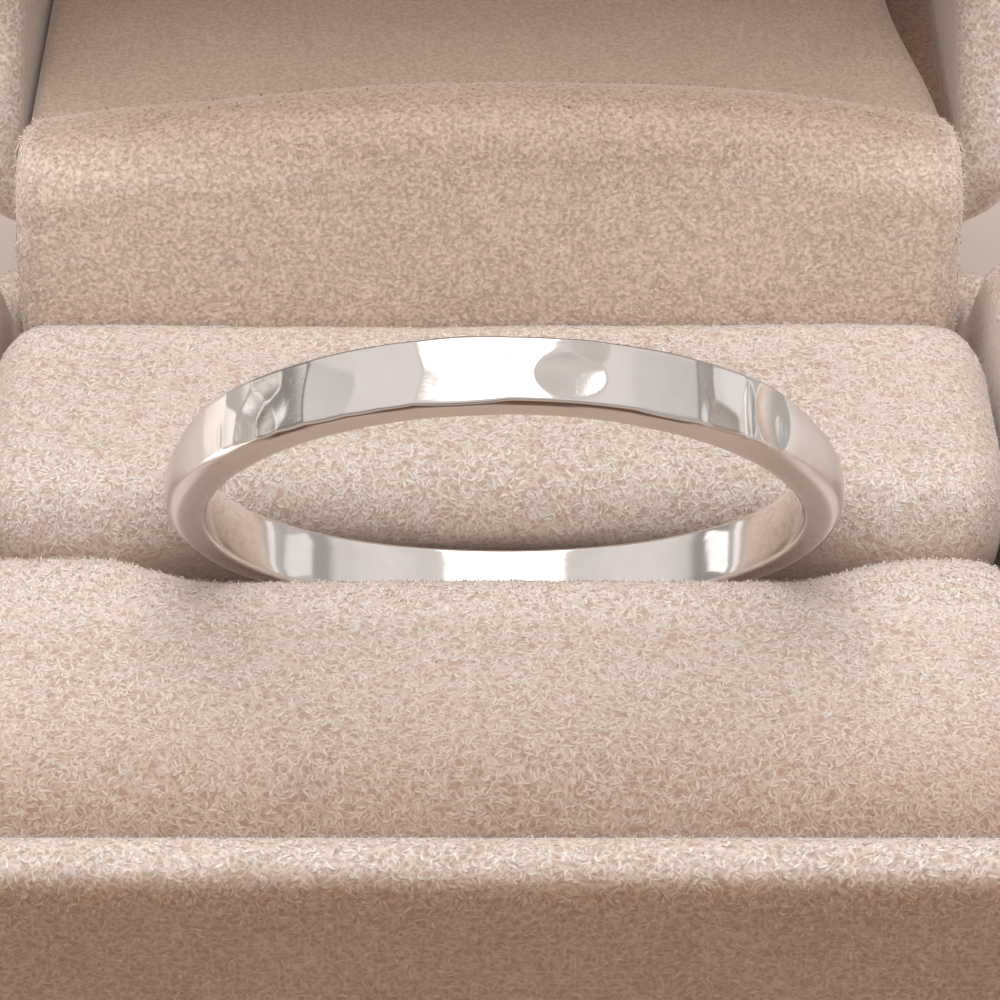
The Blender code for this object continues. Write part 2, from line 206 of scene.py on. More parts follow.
# Angle in degrees from the top of the band towards +X, place across it (plus is the front edge),
# half length, half width and depth of each blow, and how dull the polish left it, from 0 to 1.
BLOW_COLUMNS = ("angle", "across", "half_length", "half_width", "depth", "dull")
BLOWS = (
    (-57.0, -0.30, 0.60, 2.00, 0.024, 0.0),
    (-54.0, 1.02, 1.75, 0.38, 0.110, 0.0),
    (-55.6, 0.30, 0.30, 0.60, 0.030, 0.2),
    (-52.6, 0.20, 0.45, 0.80, 0.026, 0.0),
    (-49.8, -0.55, 0.62, 0.52, 0.034, 0.2),
    (-48.0, 0.55, 0.62, 0.85, 0.036, 0.5),
    (-45.8, -0.12, 0.60, 0.54, 0.032, 0.4),
    (-42.4, 0.48, 0.46, 0.56, 0.042, 0.8),
    (-42.2, -0.60, 0.66, 0.56, 0.038, 0.7),
    (-38.9, 0.22, 0.52, 0.60, 0.030, 0.3),
    (-36.6, -0.10, 0.55, 3.00, 0.030, 0.5),
    (-29.4, 0.35, 0.92, 1.25, 0.056, 0.0),
    (-25.5, -1.00, 1.10, 0.80, 0.058, 0.0),
    (-23.0, 0.95, 0.80, 0.80, 0.050, 0.0),
    (-18.4, -0.10, 0.92, 1.30, 0.056, 0.0),
    (-7.0, -0.85, 1.24, 1.30, 0.086, 0.0),
    (-6.9, 0.88, 1.20, 1.60, 0.080, 0.0),
    (-3.4, -0.20, 0.66, 0.84, 0.066, 0.2),
    (10.3, 0.12, 0.92, 0.62, 0.098, 0.3),
    (13.4, -0.66, 0.50, 0.45, 0.040, 0.5),
    (27.0, 0.00, 1.02, 2.40, 0.056, 0.0),
    (34.0, -0.30, 0.40, 1.60, 0.016, 0.6),
    (39.3, -0.45, 0.62, 0.90, 0.034, 0.0),
    (38.0, 0.62, 0.55, 0.62, 0.034, 0.9),
    (43.9, 0.15, 0.26, 0.85, 0.050, 0.0),
    (34.4, 0.62, 0.22, 0.50, 0.030, 0.0),
    (50.3, -0.02, 0.80, 0.98, 0.112, 0.5),
    (52.7, 0.12, 0.36, 0.62, 0.116, 0.1),
)
print("hammer blows:", len(BLOWS))

# %% Hammered face
RIDGE_SOFTNESS = 0.0035
LOWEST_DISH = -9.0


def hammered(angle, across):
    """Depth below the plain cylinder and dullness. Each blow is a dish d(1 - u^2 - v^2), and the deepest
    counts. Instead of the bare maximum it is k log(1 + sum exp(dish / k)), which rounds the ridges
    between dishes a little, as polishing does. Dullness is the mean with the same weights."""
    weights = np.ones(np.broadcast(angle, across).shape)
    dull = np.zeros(weights.shape)
    for row in BLOWS:
        blow = dict(zip(BLOW_COLUMNS, row))
        u = RING_OUTER_R * (angle - math.radians(blow["angle"])) / blow["half_length"]
        v = (across - blow["across"]) / blow["half_width"]
        dish = blow["depth"] * np.maximum(1.0 - u * u - v * v, LOWEST_DISH)
        weight = np.exp(dish / RIDGE_SOFTNESS)
        dull += weight * blow["dull"]
        weights += weight
    return RIDGE_SOFTNESS * np.log(weights), dull / weights


def out_of_round(angle):
    """Radius added at an angle from the top: the hammering opens a band unevenly."""
    return SECOND_WAVE * np.cos(2 * angle) + THIRD_WAVE * np.cos(3 * angle)


def degrees_from_top(angle):
    """How far down the band an angle is. The plain shanks begin a little lower on the left."""
    return np.abs(np.degrees(angle) + SHANK_SHIFT_DEG)


def shank_share(angle):
    """0 over the hammered top and 1 on the plain shanks."""
    return ease(degrees_from_top(angle), SHANK_FROM_DEG, SHANK_TO_DEG)


# %% Section of the band
HAMMER_REACH = 0.40


def band_section(angle, edge_steps=6, face_steps=24, side_steps=9, inner_steps=6):
    """Outline of the band at each angle as across and outward places from the middle of its wall, with
    the share of the hammering that reaches each point. Over the top it is a rectangle with crisp edges.
    Towards the shanks its outer half goes over to |x/a|^n + |y/b|^n = 1, along the rays of the same
    outline, so that the edges fade out."""
    half_w, half_t, r_in, r_out = RING_WIDTH / 2, RING_WALL / 2, INNER_EDGE_ROUND, CRISP_ROUND
    quarter = np.linspace(0.0, math.pi / 2, edge_steps + 1)
    face = np.linspace(-1.0, 1.0, face_steps + 1)[1:-1]
    inner = np.linspace(1.0, -1.0, inner_steps + 1)[1:-1]
    down = np.linspace(half_t - r_out, r_in - half_t, side_steps + 1)[1:-1]
    sin, cos = np.sin(quarter), np.cos(quarter)
    outline = ((face * (half_w - r_out), half_t + 0 * face),
               (half_w - r_out + r_out * sin, half_t - r_out + r_out * cos),
               (half_w + 0 * down, down),
               (half_w - r_in + r_in * cos, r_in - half_t - r_in * sin),
               (inner * (half_w - r_in), 0 * inner - half_t),
               (r_in - half_w - r_in * sin, r_in - half_t - r_in * cos),
               (0 * down - half_w, down[::-1]),
               (r_out - half_w - r_out * cos, half_t - r_out + r_out * sin))
    across, outward = (np.concatenate(values)[None, :] for values in zip(*outline))
    ray = np.arctan2(np.maximum(outward, 0.0) / half_t, across / half_w)
    reach = (np.abs(np.cos(ray)) ** SHANK_POWER + np.abs(np.sin(ray)) ** SHANK_POWER) ** (-1 / SHANK_POWER)
    outer = outward > 0.0
    round_across = np.where(outer, half_w * reach * np.cos(ray), across)
    round_outward = np.where(outer, half_t * reach * np.sin(ray), outward)
    blend = shank_share(angle)
    share = ease(outward, half_t - HAMMER_REACH, half_t) + 0 * angle
    return across + (round_across - across) * blend, outward + (round_outward - outward) * blend, share


# %% [markdown]
# ## Finish of the band
#
# A polishing mop reaches the face and the inside, but not the corner under the hammered front edge,
# where a brown line of tarnish stays. The filed sides are duller, and the shanks are left satin.

# %% Finish of the band
SIDE_FROM = (RING_WIDTH / 2 - 0.06, RING_WIDTH / 2 - 0.01)
SIDE_DULLNESS = 0.75
TARNISH_FROM = math.radians(-47.0)
TARNISH_TO = math.radians(36.0)
TARNISH_EASE = 0.12
TARNISH_BELOW = (0.03, 0.08)
TARNISH_WIDTH = 0.20
TARNISH_WAVES = ((0.07, 5.0, 1.0), (0.04, 17.0, 0.0))
TARNISH_SOFT = 0.07
SATIN_DEG = (48.0, 64.0)
SATIN_END_DEG = (112.0, 92.0)
SATIN_DOWN_TO = (-0.45, -0.25)


def band_finish(angle, across, outward, dull):
    """Dullness, tarnish and satin of each point, each from 0 to 1."""
    on_side = ease(np.abs(across), *SIDE_FROM)
    below = RING_WALL / 2 - outward
    reach = (ease(angle, TARNISH_FROM, TARNISH_FROM + TARNISH_EASE)
             * ease(angle, TARNISH_TO, TARNISH_TO - TARNISH_EASE))
    waves = sum(size * np.sin(rate * angle + start) for size, rate, start in TARNISH_WAVES)
    width = TARNISH_WIDTH + waves
    line = ease(below, *TARNISH_BELOW) * ease(below, width + TARNISH_SOFT, width)
    away = degrees_from_top(angle)
    satin = ease(away, *SATIN_DEG) * ease(away, *SATIN_END_DEG) * ease(outward, *SATIN_DOWN_TO)
    return np.maximum(dull, SIDE_DULLNESS * on_side), reach * line * on_side * (across > 0), satin


# %% Points of the band
CLOSE_DEG = 62.0
CLOSE_STATIONS = 900
OPEN_STATIONS = 280
EDGE_PUSH = 0.8
EDGE_PUSH_AT = RING_WIDTH / 2 - 0.1
EDGE_PUSH_POWER = 4
EDGE_PUSH_BELOW = 0.35


def band_angles():
    """Stations round the band, close together where it is hammered and further apart below, as angles
    from -pi to pi."""
    close = np.linspace(-CLOSE_DEG, CLOSE_DEG, CLOSE_STATIONS)
    open_part = np.linspace(CLOSE_DEG, 360.0 - CLOSE_DEG, OPEN_STATIONS)[1:-1]
    angle = np.radians(np.concatenate([close, open_part]))[:, None]
    return np.arctan2(np.sin(angle), np.cos(angle))


def band_rows():
    """Points of the hammered band, (angle, section, xyz), in the row frame, and its finish. A blow near
    an edge lowers the face and pushes the edge out sideways."""
    angle = band_angles()
    across, outward, share = band_section(angle)
    depth, dull = hammered(angle, across)
    front, back = (hammered(angle, np.full((1, 1), side * EDGE_PUSH_AT))[0] for side in (1, -1))
    push = np.where(across > 0, front, back) * EDGE_PUSH * np.sign(across) * (1.0 - shank_share(angle))
    push = push * (np.abs(across) / (RING_WIDTH / 2)) ** EDGE_PUSH_POWER
    push = push * (EDGE_PUSH_BELOW + (1.0 - EDGE_PUSH_BELOW) * share)
    radius = RING_INNER_R + RING_WALL / 2 + out_of_round(angle) + outward - share * depth
    x, y, z = radius * np.sin(angle), -(across + push), radius * np.cos(angle)
    leaning = np.stack([x, y * math.cos(RING_LEAN) - z * math.sin(RING_LEAN),
                        y * math.sin(RING_LEAN) + z * math.cos(RING_LEAN)], axis=-1)
    return leaning + RING_CENTRE, band_finish(angle, across, outward, dull * share)


band_points, finishes = band_rows()
ring = surface_object("silver_band", band_points, wrap_rows=True)
for finish, values in zip(("dulled", "tarnished", "satin"), finishes):
    store_floats(ring.data, finish, values)

# %% [markdown]
# ## Rounded outlines
#
# Cushions and pad have the same kind of section: a polygon with rounded corners. The arcs and the
# straight stretches between them get their own numbers of steps, so that points are close together
# only where the surface shows.

# %% Rounded polygons as arrays
def rounded_outline(corners, radii, arc_steps, edge_steps):
    """Closed outlines for many stations at once. corners is (station, corner, yz); each corner is
    replaced by an arc of its radius, touching both sides, and each side after it is divided."""
    before = unit(np.roll(corners, 1, axis=1) - corners)
    after = unit(np.roll(corners, -1, axis=1) - corners)
    half = np.arccos(np.clip((before * after).sum(2), -1.0, 1.0)) / 2
    reach = (radii / np.tan(half))[..., None]
    centre = corners + unit(before + after) * (radii / np.sin(half))[..., None]
    start, end = corners + before * reach, corners + after * reach
    parts = []
    for k, radius in enumerate(radii):
        (y0, z0), (y1, z1) = (start - centre)[:, k].T, (end - centre)[:, k].T
        a0 = np.arctan2(z0, y0)
        sweep = (np.arctan2(z1, y1) - a0 + math.pi) % (2 * math.pi) - math.pi
        turn = a0[:, None] + sweep[:, None] * np.linspace(0.0, 1.0, arc_steps[k] + 1)
        parts.append(centre[:, k, None] + radius * np.stack([np.cos(turn), np.sin(turn)], axis=-1))
        following = start[:, (k + 1) % len(radii), None]
        t = np.linspace(0.0, 1.0, edge_steps[k] + 1)[1:-1, None]
        parts.append(end[:, k, None] + (following - end[:, k, None]) * t)
    return np.concatenate(parts, axis=1)


# %% Soft pieces
VELVET_STEP = 0.15
print("soft pieces have a station every", VELVET_STEP, "mm")


def end_rounding(half_x, round_r, turn_steps=7):
    """Stations across a soft piece, and the inset of its section at each: a quarter circle eases the
    section in at both ends."""
    turn = np.linspace(0.0, math.pi / 2, turn_steps + 1)[:-1]
    flat = half_x - round_r
    x_end, inset = flat + round_r * np.cos(turn), round_r - round_r * np.sin(turn)
    inner = np.linspace(-flat, flat, int(round(2 * flat / VELVET_STEP)) + 1)
    return (np.concatenate([-x_end, inner, x_end[::-1]]),
            np.concatenate([inset, np.zeros(inner.shape), inset[::-1]]))


def soft_rows(x, corners, radii, arc_steps, edge_steps):
    """Rows of points, (station, outline, xyz), from a pair of arrays, y and z, for each corner."""
    corners = np.array(corners).transpose(2, 0, 1)
    section = rounded_outline(corners, np.array(radii), arc_steps, edge_steps)
    across = np.broadcast_to(x[:, None, None], section.shape[:2] + (1,))
    return np.concatenate([across, section], axis=-1)


# Wavelengths in millimetres and shares of the swells.
FOAM_WAVES = ((6.5, 1.0), (1.3, 0.30), (0.45, 0.35))


def foam_swell(obj, amount, seed):
    """Slow unevenness of stuffed foam, and the finer lumps where velvet is glued down: each vertex
    moves along its own normal."""
    places, normals = vertex_arrays(obj)
    swell = sum(share * gradient_noise(places, wavelength, seed + k)
                for k, (wavelength, share) in enumerate(FOAM_WAVES))
    moved = (places + normals * amount * swell[:, None]) * MM
    obj.data.vertices.foreach_set("co", moved.astype(np.float32).ravel())
    obj.data.update()


# %% [markdown]
# ## The two cushions
#
# Each is a strip of foam wrapped in velvet and pushed into the tray, so that the pair grips the ring.
# The slot lies along the ring's own plane. Where the ring stands it is forced open, and beside the
# ring it falls shut, which leaves the soft dip in the front cushion's edge. The velvet is stretched
# tight and has no folds, so the form is worked out directly and not by a cloth simulation.

# %% Cushions
BOX_HALF_X = 17.6
BOX_HALF_Y = 17.35
WALL = 2.2
FLOOR = 1.6
SEAT_GAP = 0.3
ROLL_HALF_X = 15.1
ROLL_CREST = 14.4
ROLL_END_ROUND = 1.6
ROLL_FOOT = 0.4
ROLL_BOTTOM = FLOOR + SEAT_GAP
FRONT_SHOULDER = 4.0
SLOT_SHOULDER_FRONT = 2.0
SLOT_SHOULDER_BACK = 1.8
BACK_SHOULDER = 1.7
FRONT_ROLL_START_Y = -BOX_HALF_Y + WALL + SEAT_GAP
BACK_ROLL_END_Y = 8.55
SLOT_CLEARANCE = 0.3
SLOT_SHUT = 0.3
PRESS_FROM = 8.0
PRESS_TO = 11.6
CUSHION_SWELL = 0.07


def slot_wall_y(z, x, side):
    """Y of the slot's wall at height z: the ring's middle plane, moved by half the slot's width, which
    eases from the ring's own width to almost shut beside it."""
    press = ease(np.abs(x - RING_CENTRE[0]), PRESS_TO, PRESS_FROM)
    half_gap = SLOT_SHUT + (RING_WIDTH / 2 + SLOT_CLEARANCE - SLOT_SHUT) * press
    middle = RING_CENTRE[1] + (RING_CENTRE[2] - z) * math.tan(RING_LEAN)
    return middle + side * half_gap / math.cos(RING_LEAN)


def cushion_rows(side, far_y, shoulders, arc_steps, edge_steps):
    """Rows of the cushion in front of the slot, side -1, or behind it, side 1. far_y is the end away
    from the slot, and shoulders are the rounds of the back and the front top edge."""
    x, inset = end_rounding(ROLL_HALF_X, ROLL_END_ROUND)
    bottom, top, far = ROLL_BOTTOM + 0.0 * x, ROLL_CREST - inset, far_y - side * inset
    low, high = (slot_wall_y(z, x, side) + side * inset / math.cos(RING_LEAN) for z in (bottom, top))
    (front_low, front_high), (back_low, back_high) = ((far, far), (low, high))[::-side]
    corners = ((front_low, bottom), (back_low, bottom), (back_high, top), (front_high, top))
    return soft_rows(x, corners, (ROLL_FOOT, ROLL_FOOT) + shoulders, arc_steps, edge_steps)


front_cushion = surface_object("front_cushion", cushion_rows(
    -1, FRONT_ROLL_START_Y, (SLOT_SHOULDER_FRONT, FRONT_SHOULDER), (2, 2, 22, 44), (8, 22, 26, 14)))
back_cushion = surface_object("back_cushion", cushion_rows(
    1, BACK_ROLL_END_Y, (BACK_SHOULDER, SLOT_SHOULDER_BACK), (2, 2, 18, 18), (6, 8, 52, 20)))
foam_swell(front_cushion, CUSHION_SWELL, 11)
foam_swell(back_cushion, CUSHION_SWELL, 21)

# %% [markdown]
# ## The pad behind the cushions
#
# A thicker card pad, also wrapped in velvet, stands in front of the hinge and hides it. Its top edge is
# a low arch, a little higher to the right, and its front leans back, so it catches more of the light
# from above than an upright wall does.

# %% Pad
PAD_HALF_X = 14.45
PAD_FRONT_Y = 8.85
PAD_BACK_Y = 13.65
PAD_LEAN = 0.9
PAD_TOP_MIDDLE = 20.0
PAD_TOP_ENDS = 18.6
PAD_TOP_ROUND = 1.9
PAD_BEND_Z = 13.4
PAD_BEND_ROUND = 4.0
PAD_SIDE_ROUND = 0.7
PAD_APEX_SHIFT = 0.25
PAD_SWELL = 0.06


def rear_pad_rows():
    """Rows of the pad: its top is the arch (1 - s^2)(1 + k s), with s from -1 to 1 across it."""
    x, inset = end_rounding(PAD_HALF_X, PAD_SIDE_ROUND, turn_steps=5)
    share = x / PAD_HALF_X
    arch = (1.0 - share ** 2) * (1.0 + PAD_APEX_SHIFT * share)
    top = PAD_TOP_ENDS + (PAD_TOP_MIDDLE - PAD_TOP_ENDS) * arch - inset
    bottom = ROLL_BOTTOM + 0.0 * x
    corners = ((PAD_FRONT_Y + inset, bottom), (PAD_BACK_Y - inset, bottom), (PAD_BACK_Y - inset, top),
               (PAD_FRONT_Y + PAD_LEAN + inset, top), (PAD_FRONT_Y + inset, PAD_BEND_Z + 0.0 * x))
    radii = (ROLL_FOOT, ROLL_FOOT, PAD_TOP_ROUND, PAD_TOP_ROUND, PAD_BEND_ROUND)
    return soft_rows(x, corners, radii, (2, 2, 14, 16, 8), (3, 20, 3, 34, 14))


rear_pad = surface_object("rear_pad", rear_pad_rows())
foam_swell(rear_pad, PAD_SWELL, 31)

# %% [markdown]
# ## The box
#
# The base and the lid are moulded shells covered in velvet. Both are drawn as rows: the same rounded
# rectangle, drawn in or out, at a height that may change along it. The rim is a full round as wide as
# the wall, and drops in an S at the hinge so that the lid can turn back.

# %% Box outline and rims
BOX_CORNER = 3.0
SMALLEST_CORNER = 0.5
FOOT_ROUND = 0.9
BASE_RIM = 15.0
SHOULDER_START_Y = 9.75
SHOULDER_END_Y = 15.25
HINGE_DROP = 4.7
RIM_GAP = 0.3
HINGE_GAP = 0.6
HINGE_Y = BOX_HALF_Y
HINGE_Z = BASE_RIM - HINGE_DROP + HINGE_GAP / 2
LID_TOP = 31.0
LID_END_ROUND = 8.0
LID_SIDE_ROUND = 3.2
CORNER_STEPS = 14
SIDE_STEPS = 100
RIM_R = WALL / 2
RIM_TURN = np.linspace(0.0, math.pi, 15)
ROOF_INSETS = 8.2 * np.linspace(0.0, 1.0, 15) ** 2


def box_outline(inset):
    """Rounded rectangle, drawn in by inset, as x and y, anticlockwise from the +X+Y corner. Each side
    is the one before it turned by a quarter, with its own half length."""
    r = max(BOX_CORNER - inset, SMALLEST_CORNER)
    half_x, half_y = BOX_HALF_X - inset, BOX_HALF_Y - inset
    lx, ly = half_x - r, half_y - r
    turn = np.linspace(0.0, math.pi / 2, CORNER_STEPS + 1)
    run = np.linspace(1.0, -1.0, SIDE_STEPS + 1)[1:-1]
    sides = ((lx * run, half_y + 0 * run), (-half_x + 0 * run, ly * run),
             (-lx * run, -half_y + 0 * run), (half_x + 0 * run, -ly * run))
    parts = []
    for quarter, (cx, cy) in enumerate(((lx, ly), (-lx, ly), (-lx, -ly), (lx, -ly))):
        a = turn + quarter * math.pi / 2
        parts += [np.stack([cx + r * np.cos(a), cy + r * np.sin(a)]), np.stack(sides[quarter])]
    return np.concatenate(parts, axis=1)


# %% Heights of the rims and the roof
def base_rim(y):
    """Height of the base's rim: level, and down by the hinge's drop in an S towards the back."""
    return BASE_RIM - HINGE_DROP * ease(y, SHOULDER_START_Y, SHOULDER_END_Y)


def lid_rim(y):
    """Height of the shut lid's rim: the gap grows from RIM_GAP to HINGE_GAP where the rim drops."""
    drop_share = (BASE_RIM - base_rim(y)) / HINGE_DROP
    return base_rim(y) + RIM_GAP + (HINGE_GAP - RIM_GAP) * drop_share


def roof(inset, top):
    """Height of the lid's roof: a large arc along the front and back edges, a small one at the sides."""
    half_x, half_y = BOX_HALF_X - inset, BOX_HALF_Y - inset
    end_r, side_r = LID_END_ROUND - inset, LID_SIDE_ROUND - inset

    def height(x, y):
        over_y = np.clip(np.abs(y) - (half_y - end_r), 0.0, end_r)
        over_x = np.clip(np.abs(x) - (half_x - side_r), 0.0, side_r)
        return (top - end_r + np.sqrt(end_r ** 2 - over_y ** 2)
                - side_r + np.sqrt(side_r ** 2 - over_x ** 2))
    return height


# %% Rows of the base and the lid
# Turn of the foot, and shares of a wall's height at which it has rows.
FOOT_TURN = np.linspace(0.0, math.pi / 2, 5)
BASE_OUTSIDE = np.linspace(0.0, 1.0, 30)[1:-1]
BASE_INSIDE = np.linspace(1.0, 0.0, 12)[1:]
LID_INSIDE = np.linspace(1.0, 0.0, 16)[1:-1]
LID_OUTSIDE = np.linspace(0.0, 1.0, 22)[1:-1]


def box_row(inset, height):
    """One row of points: the outline at inset, as high as height(x, y) says."""
    x, y = box_outline(inset)
    return np.column_stack([x, y, height(x, y)])


def wall_rows(inset, low, high, shares):
    """Rows of an upright wall, at shares of the way from low(x, y) to high(x, y)."""
    return [box_row(inset, lambda x, y: low(x, y) + share * (high(x, y) - low(x, y))) for share in shares]


def rim_rows(middle, rise):
    """Rows over a full round rim from the outside in; rise is 1 where it looks up and -1 down."""
    return [box_row(RIM_R - RIM_R * math.cos(a), lambda x, y: middle(x, y) + rise * RIM_R * math.sin(a))
            for a in RIM_TURN]


def level(z):
    """The same height everywhere."""
    return lambda x, y: z + 0.0 * x


def base_rows():
    """From the underside, round the foot, up the outside, over the rim and down to the floor."""
    def middle(x, y):
        return base_rim(y) - RIM_R

    foot = [box_row(FOOT_ROUND * (1 - math.sin(a)), level(FOOT_ROUND * (1 - math.cos(a))))
            for a in FOOT_TURN]
    outside = wall_rows(0.0, level(FOOT_ROUND), middle, BASE_OUTSIDE)
    inside = wall_rows(WALL, level(FLOOR), middle, BASE_INSIDE)
    return np.array(foot + outside + rim_rows(middle, 1) + inside)


def lid_rows():
    """From the middle of the inner roof, down the inside, over the rim, up the outside and over the
    outer roof, drawn with the lid shut."""
    def middle(x, y):
        return lid_rim(y) + RIM_R

    inner, outer = roof(WALL, LID_TOP - WALL), roof(0.0, LID_TOP)
    inside = wall_rows(WALL, middle, inner, LID_INSIDE)
    outside = wall_rows(0.0, middle, outer, LID_OUTSIDE)
    return np.array([box_row(WALL + step, inner) for step in ROOF_INSETS[::-1]] + inside
                    + rim_rows(middle, -1)[::-1] + outside + [box_row(step, outer) for step in ROOF_INSETS])


def opened(rows):
    """Turn points of the shut lid back by a quarter turn about the hinge."""
    x, y, z = rows[..., 0], rows[..., 1], rows[..., 2]
    return np.stack([x, HINGE_Y + (z - HINGE_Z), HINGE_Z - (y - HINGE_Y)], axis=-1)


base_cover = surface_object("base_cover", base_rows())
lid_cover = surface_object("lid_cover", opened(lid_rows()))

# %% [markdown]
# ## The lid's lining
#
# A springy card covered in velvet is bent into the lid: it follows the back wall, the roof and the
# front. Its edges are cut by hand, so it touches the wall on one side and stands off on the other,
# where a dark line shows beside it.

# %% Lining
LINING_GAP = 0.4
LINING_THICK = 0.8
LINING_FRONT_END = 22.0
LINING_BACK_END = 12.1
LINING_LEFT = -15.2
LINING_RIGHT = 14.9
LINING_RIGHT_DEEP = 13.7
LINING_NARROW = (12.6, 21.5)
HIDDEN_FACE_SKIP = 12


def lining_path(inset, steps):
    """Path of one face of the lining through the shut lid, (point, yz), evenly spaced: up the back,
    round an arc, over the roof, round an arc and down the front."""
    half_y, top, r = BOX_HALF_Y - inset, LID_TOP - inset, LID_END_ROUND - inset
    turn = np.linspace(0.0, math.pi / 2, 25)
    back = np.column_stack([half_y - r + r * np.cos(turn), top - r + r * np.sin(turn)])
    front = np.column_stack([r - half_y - r * np.sin(turn), top - r + r * np.cos(turn)])
    path = np.concatenate([[(half_y, LINING_BACK_END)], back, front, [(-half_y, LINING_FRONT_END)]])
    length = np.concatenate([[0.0], np.cumsum(np.linalg.norm(np.diff(path, axis=0), axis=1))])
    even = np.linspace(0.0, length[-1], steps)
    return np.column_stack([np.interp(even, length, path[:, k]) for k in range(2)])


def lining_rows(steps=170, across_steps=96):
    """A flat band with rounded edges: the outline goes across on the hidden face and back on the face
    that shows, and is carried along the path. Deeper in the lid the band is narrower on the right."""
    hidden = lining_path(WALL + LINING_GAP, steps)
    shown = lining_path(WALL + LINING_GAP + LINING_THICK, steps)
    right = LINING_RIGHT + (LINING_RIGHT_DEEP - LINING_RIGHT) * ease(shown[:, 1], *LINING_NARROW)
    edge_turn = np.linspace(0.0, math.pi, 9)[1:-1]
    bulge, depth = LINING_THICK / 2 * np.sin(edge_turn), (1 - np.cos(edge_turn)) / 2
    back = np.linspace(1.0, 0.0, across_steps + 1)
    go = back[::-HIDDEN_FACE_SKIP]
    place = np.concatenate([go, 0 * bulge + 1, back, 0 * bulge])
    outward = np.concatenate([0 * go, bulge, 0 * back, -bulge])
    towards_shown = np.concatenate([0 * go, depth, 0 * back + 1, depth[::-1]])
    left = LINING_LEFT + LINING_THICK / 2
    x = left + (right - LINING_THICK / 2 - left)[:, None] * place + outward
    yz = hidden[:, None] + (shown - hidden)[:, None] * towards_shown[:, None]
    return opened(np.concatenate([x[..., None], yz], axis=-1))


lid_velvet = surface_object("lid_velvet", lining_rows())

# %% [markdown]
# ## Velvet pile
#
# The velvet of a ring box is a short flocked pile that has curled. Close up it reads as thin pale curls,
# open rings and S shapes of a third of a millimetre, over a darker ground, and as a fringe of loose ends
# along each edge. A curl is a narrow ribbon that lies on the ground while its heading turns steadily.
# Its corner normals lean to both sides, so that it is shaded like a round fibre although it is flat. A
# loose end is a standing blade of three triangles, which keeps its own normals, because it is seen from
# both sides. All curls of a piece are one mesh.

# %% Places for fibres
STEEP = 0.8


def surface_samples(obj, count, weight, rng):
    """Random places on a mesh with their normals, spread by area times weight(x, y, z, normals)."""
    mesh = obj.data
    mesh.calc_loop_triangles()
    corners = np.empty(len(mesh.loop_triangles) * 3, np.int32)
    mesh.loop_triangles.foreach_get("vertices", corners)
    corners = corners.reshape(-1, 3)
    places, normals = vertex_arrays(obj)
    a, b, c = (places[corners[:, k]] for k in range(3))
    area = np.linalg.norm(np.cross(b - a, c - a), axis=1) / 2
    share = area * weight(*((a + b + c) / 3).T, normals[corners].mean(axis=1))
    picked = rng.choice(len(share), size=count, p=share / share.sum())
    u, v = rng.random(count), rng.random(count)
    over = u + v > 1.0
    u[over], v[over] = 1.0 - u[over], 1.0 - v[over]
    parts = np.stack([1.0 - u - v, u, v], axis=1)[..., None]
    return (places[corners[picked]] * parts).sum(1), unit((normals[corners[picked]] * parts).sum(1))


def tangents(n):
    """Two directions along the surface, square to each other, for each normal."""
    helper = np.where(np.abs(n[:, :1]) < STEEP, (1.0, 0.0, 0.0), (0.0, 1.0, 0.0))
    first = unit(np.cross(n, helper))
    return first, np.cross(n, first)


# %% One mesh of fibres
def fibre_mesh(name, corners, shading, triangles, along, across, tones, roots):
    """One mesh for all fibres of a piece: corners (fibre, corner, xyz) in millimetres, the shading
    normal of each or None where fibres stand and are seen from both sides, triangles of one fibre, and
    the values that the material reads."""
    count, per_fibre = corners.shape[:2]
    faces = (np.arange(count)[:, None, None] * per_fibre + np.asarray(triangles)[None]).reshape(-1, 3)
    mesh = bpy.data.meshes.new(name)
    mesh.vertices.add(count * per_fibre)
    mesh.vertices.foreach_set("co", (corners.reshape(-1, 3) * MM).astype(np.float32).ravel())
    mesh.loops.add(len(faces) * 3)
    mesh.loops.foreach_set("vertex_index", faces.astype(np.int32).ravel())
    mesh.polygons.add(len(faces))
    mesh.polygons.foreach_set("loop_start", (np.arange(len(faces)) * 3).astype(np.int32))
    mesh.update(calc_edges=True)
    mesh.shade_smooth()
    if shading is not None:
        mesh.normals_split_custom_set_from_vertices(unit(shading.reshape(-1, 3)).tolist())
    store_floats(mesh, "along_fibre", np.tile(along, count))
    store_floats(mesh, "across_fibre", np.tile(across, count))
    store_floats(mesh, "fibre_tone", np.repeat(tones, per_fibre))
    bake = mesh.uv_layers.new(name="OFBake")
    flat = (roots - roots.min(0)) / (roots.max(0) - roots.min(0) + 1e-9)
    spot = np.stack([flat[:, 0], (flat[:, 1] + flat[:, 2]) / 2], axis=-1)
    bake.data.foreach_set("uv", spot[faces.ravel() // per_fibre].astype(np.float32).ravel())
    print(name, "fibres:", count, "triangles:", len(faces))
    return new_object(name, mesh)


# %% Curls
CURL_STEPS = 4
CURL_LEAN = 0.35
CURL_LIFT = 0.003
CURL_TURN = (1.2, 4.0)
CURL_LENGTHS = (0.75, 1.3)
CURL_LIFTS = (0.5, 2.0)
S_SHARE = 0.35
S_BACK = 0.9
WIDTHS = (0.75, 1.25)


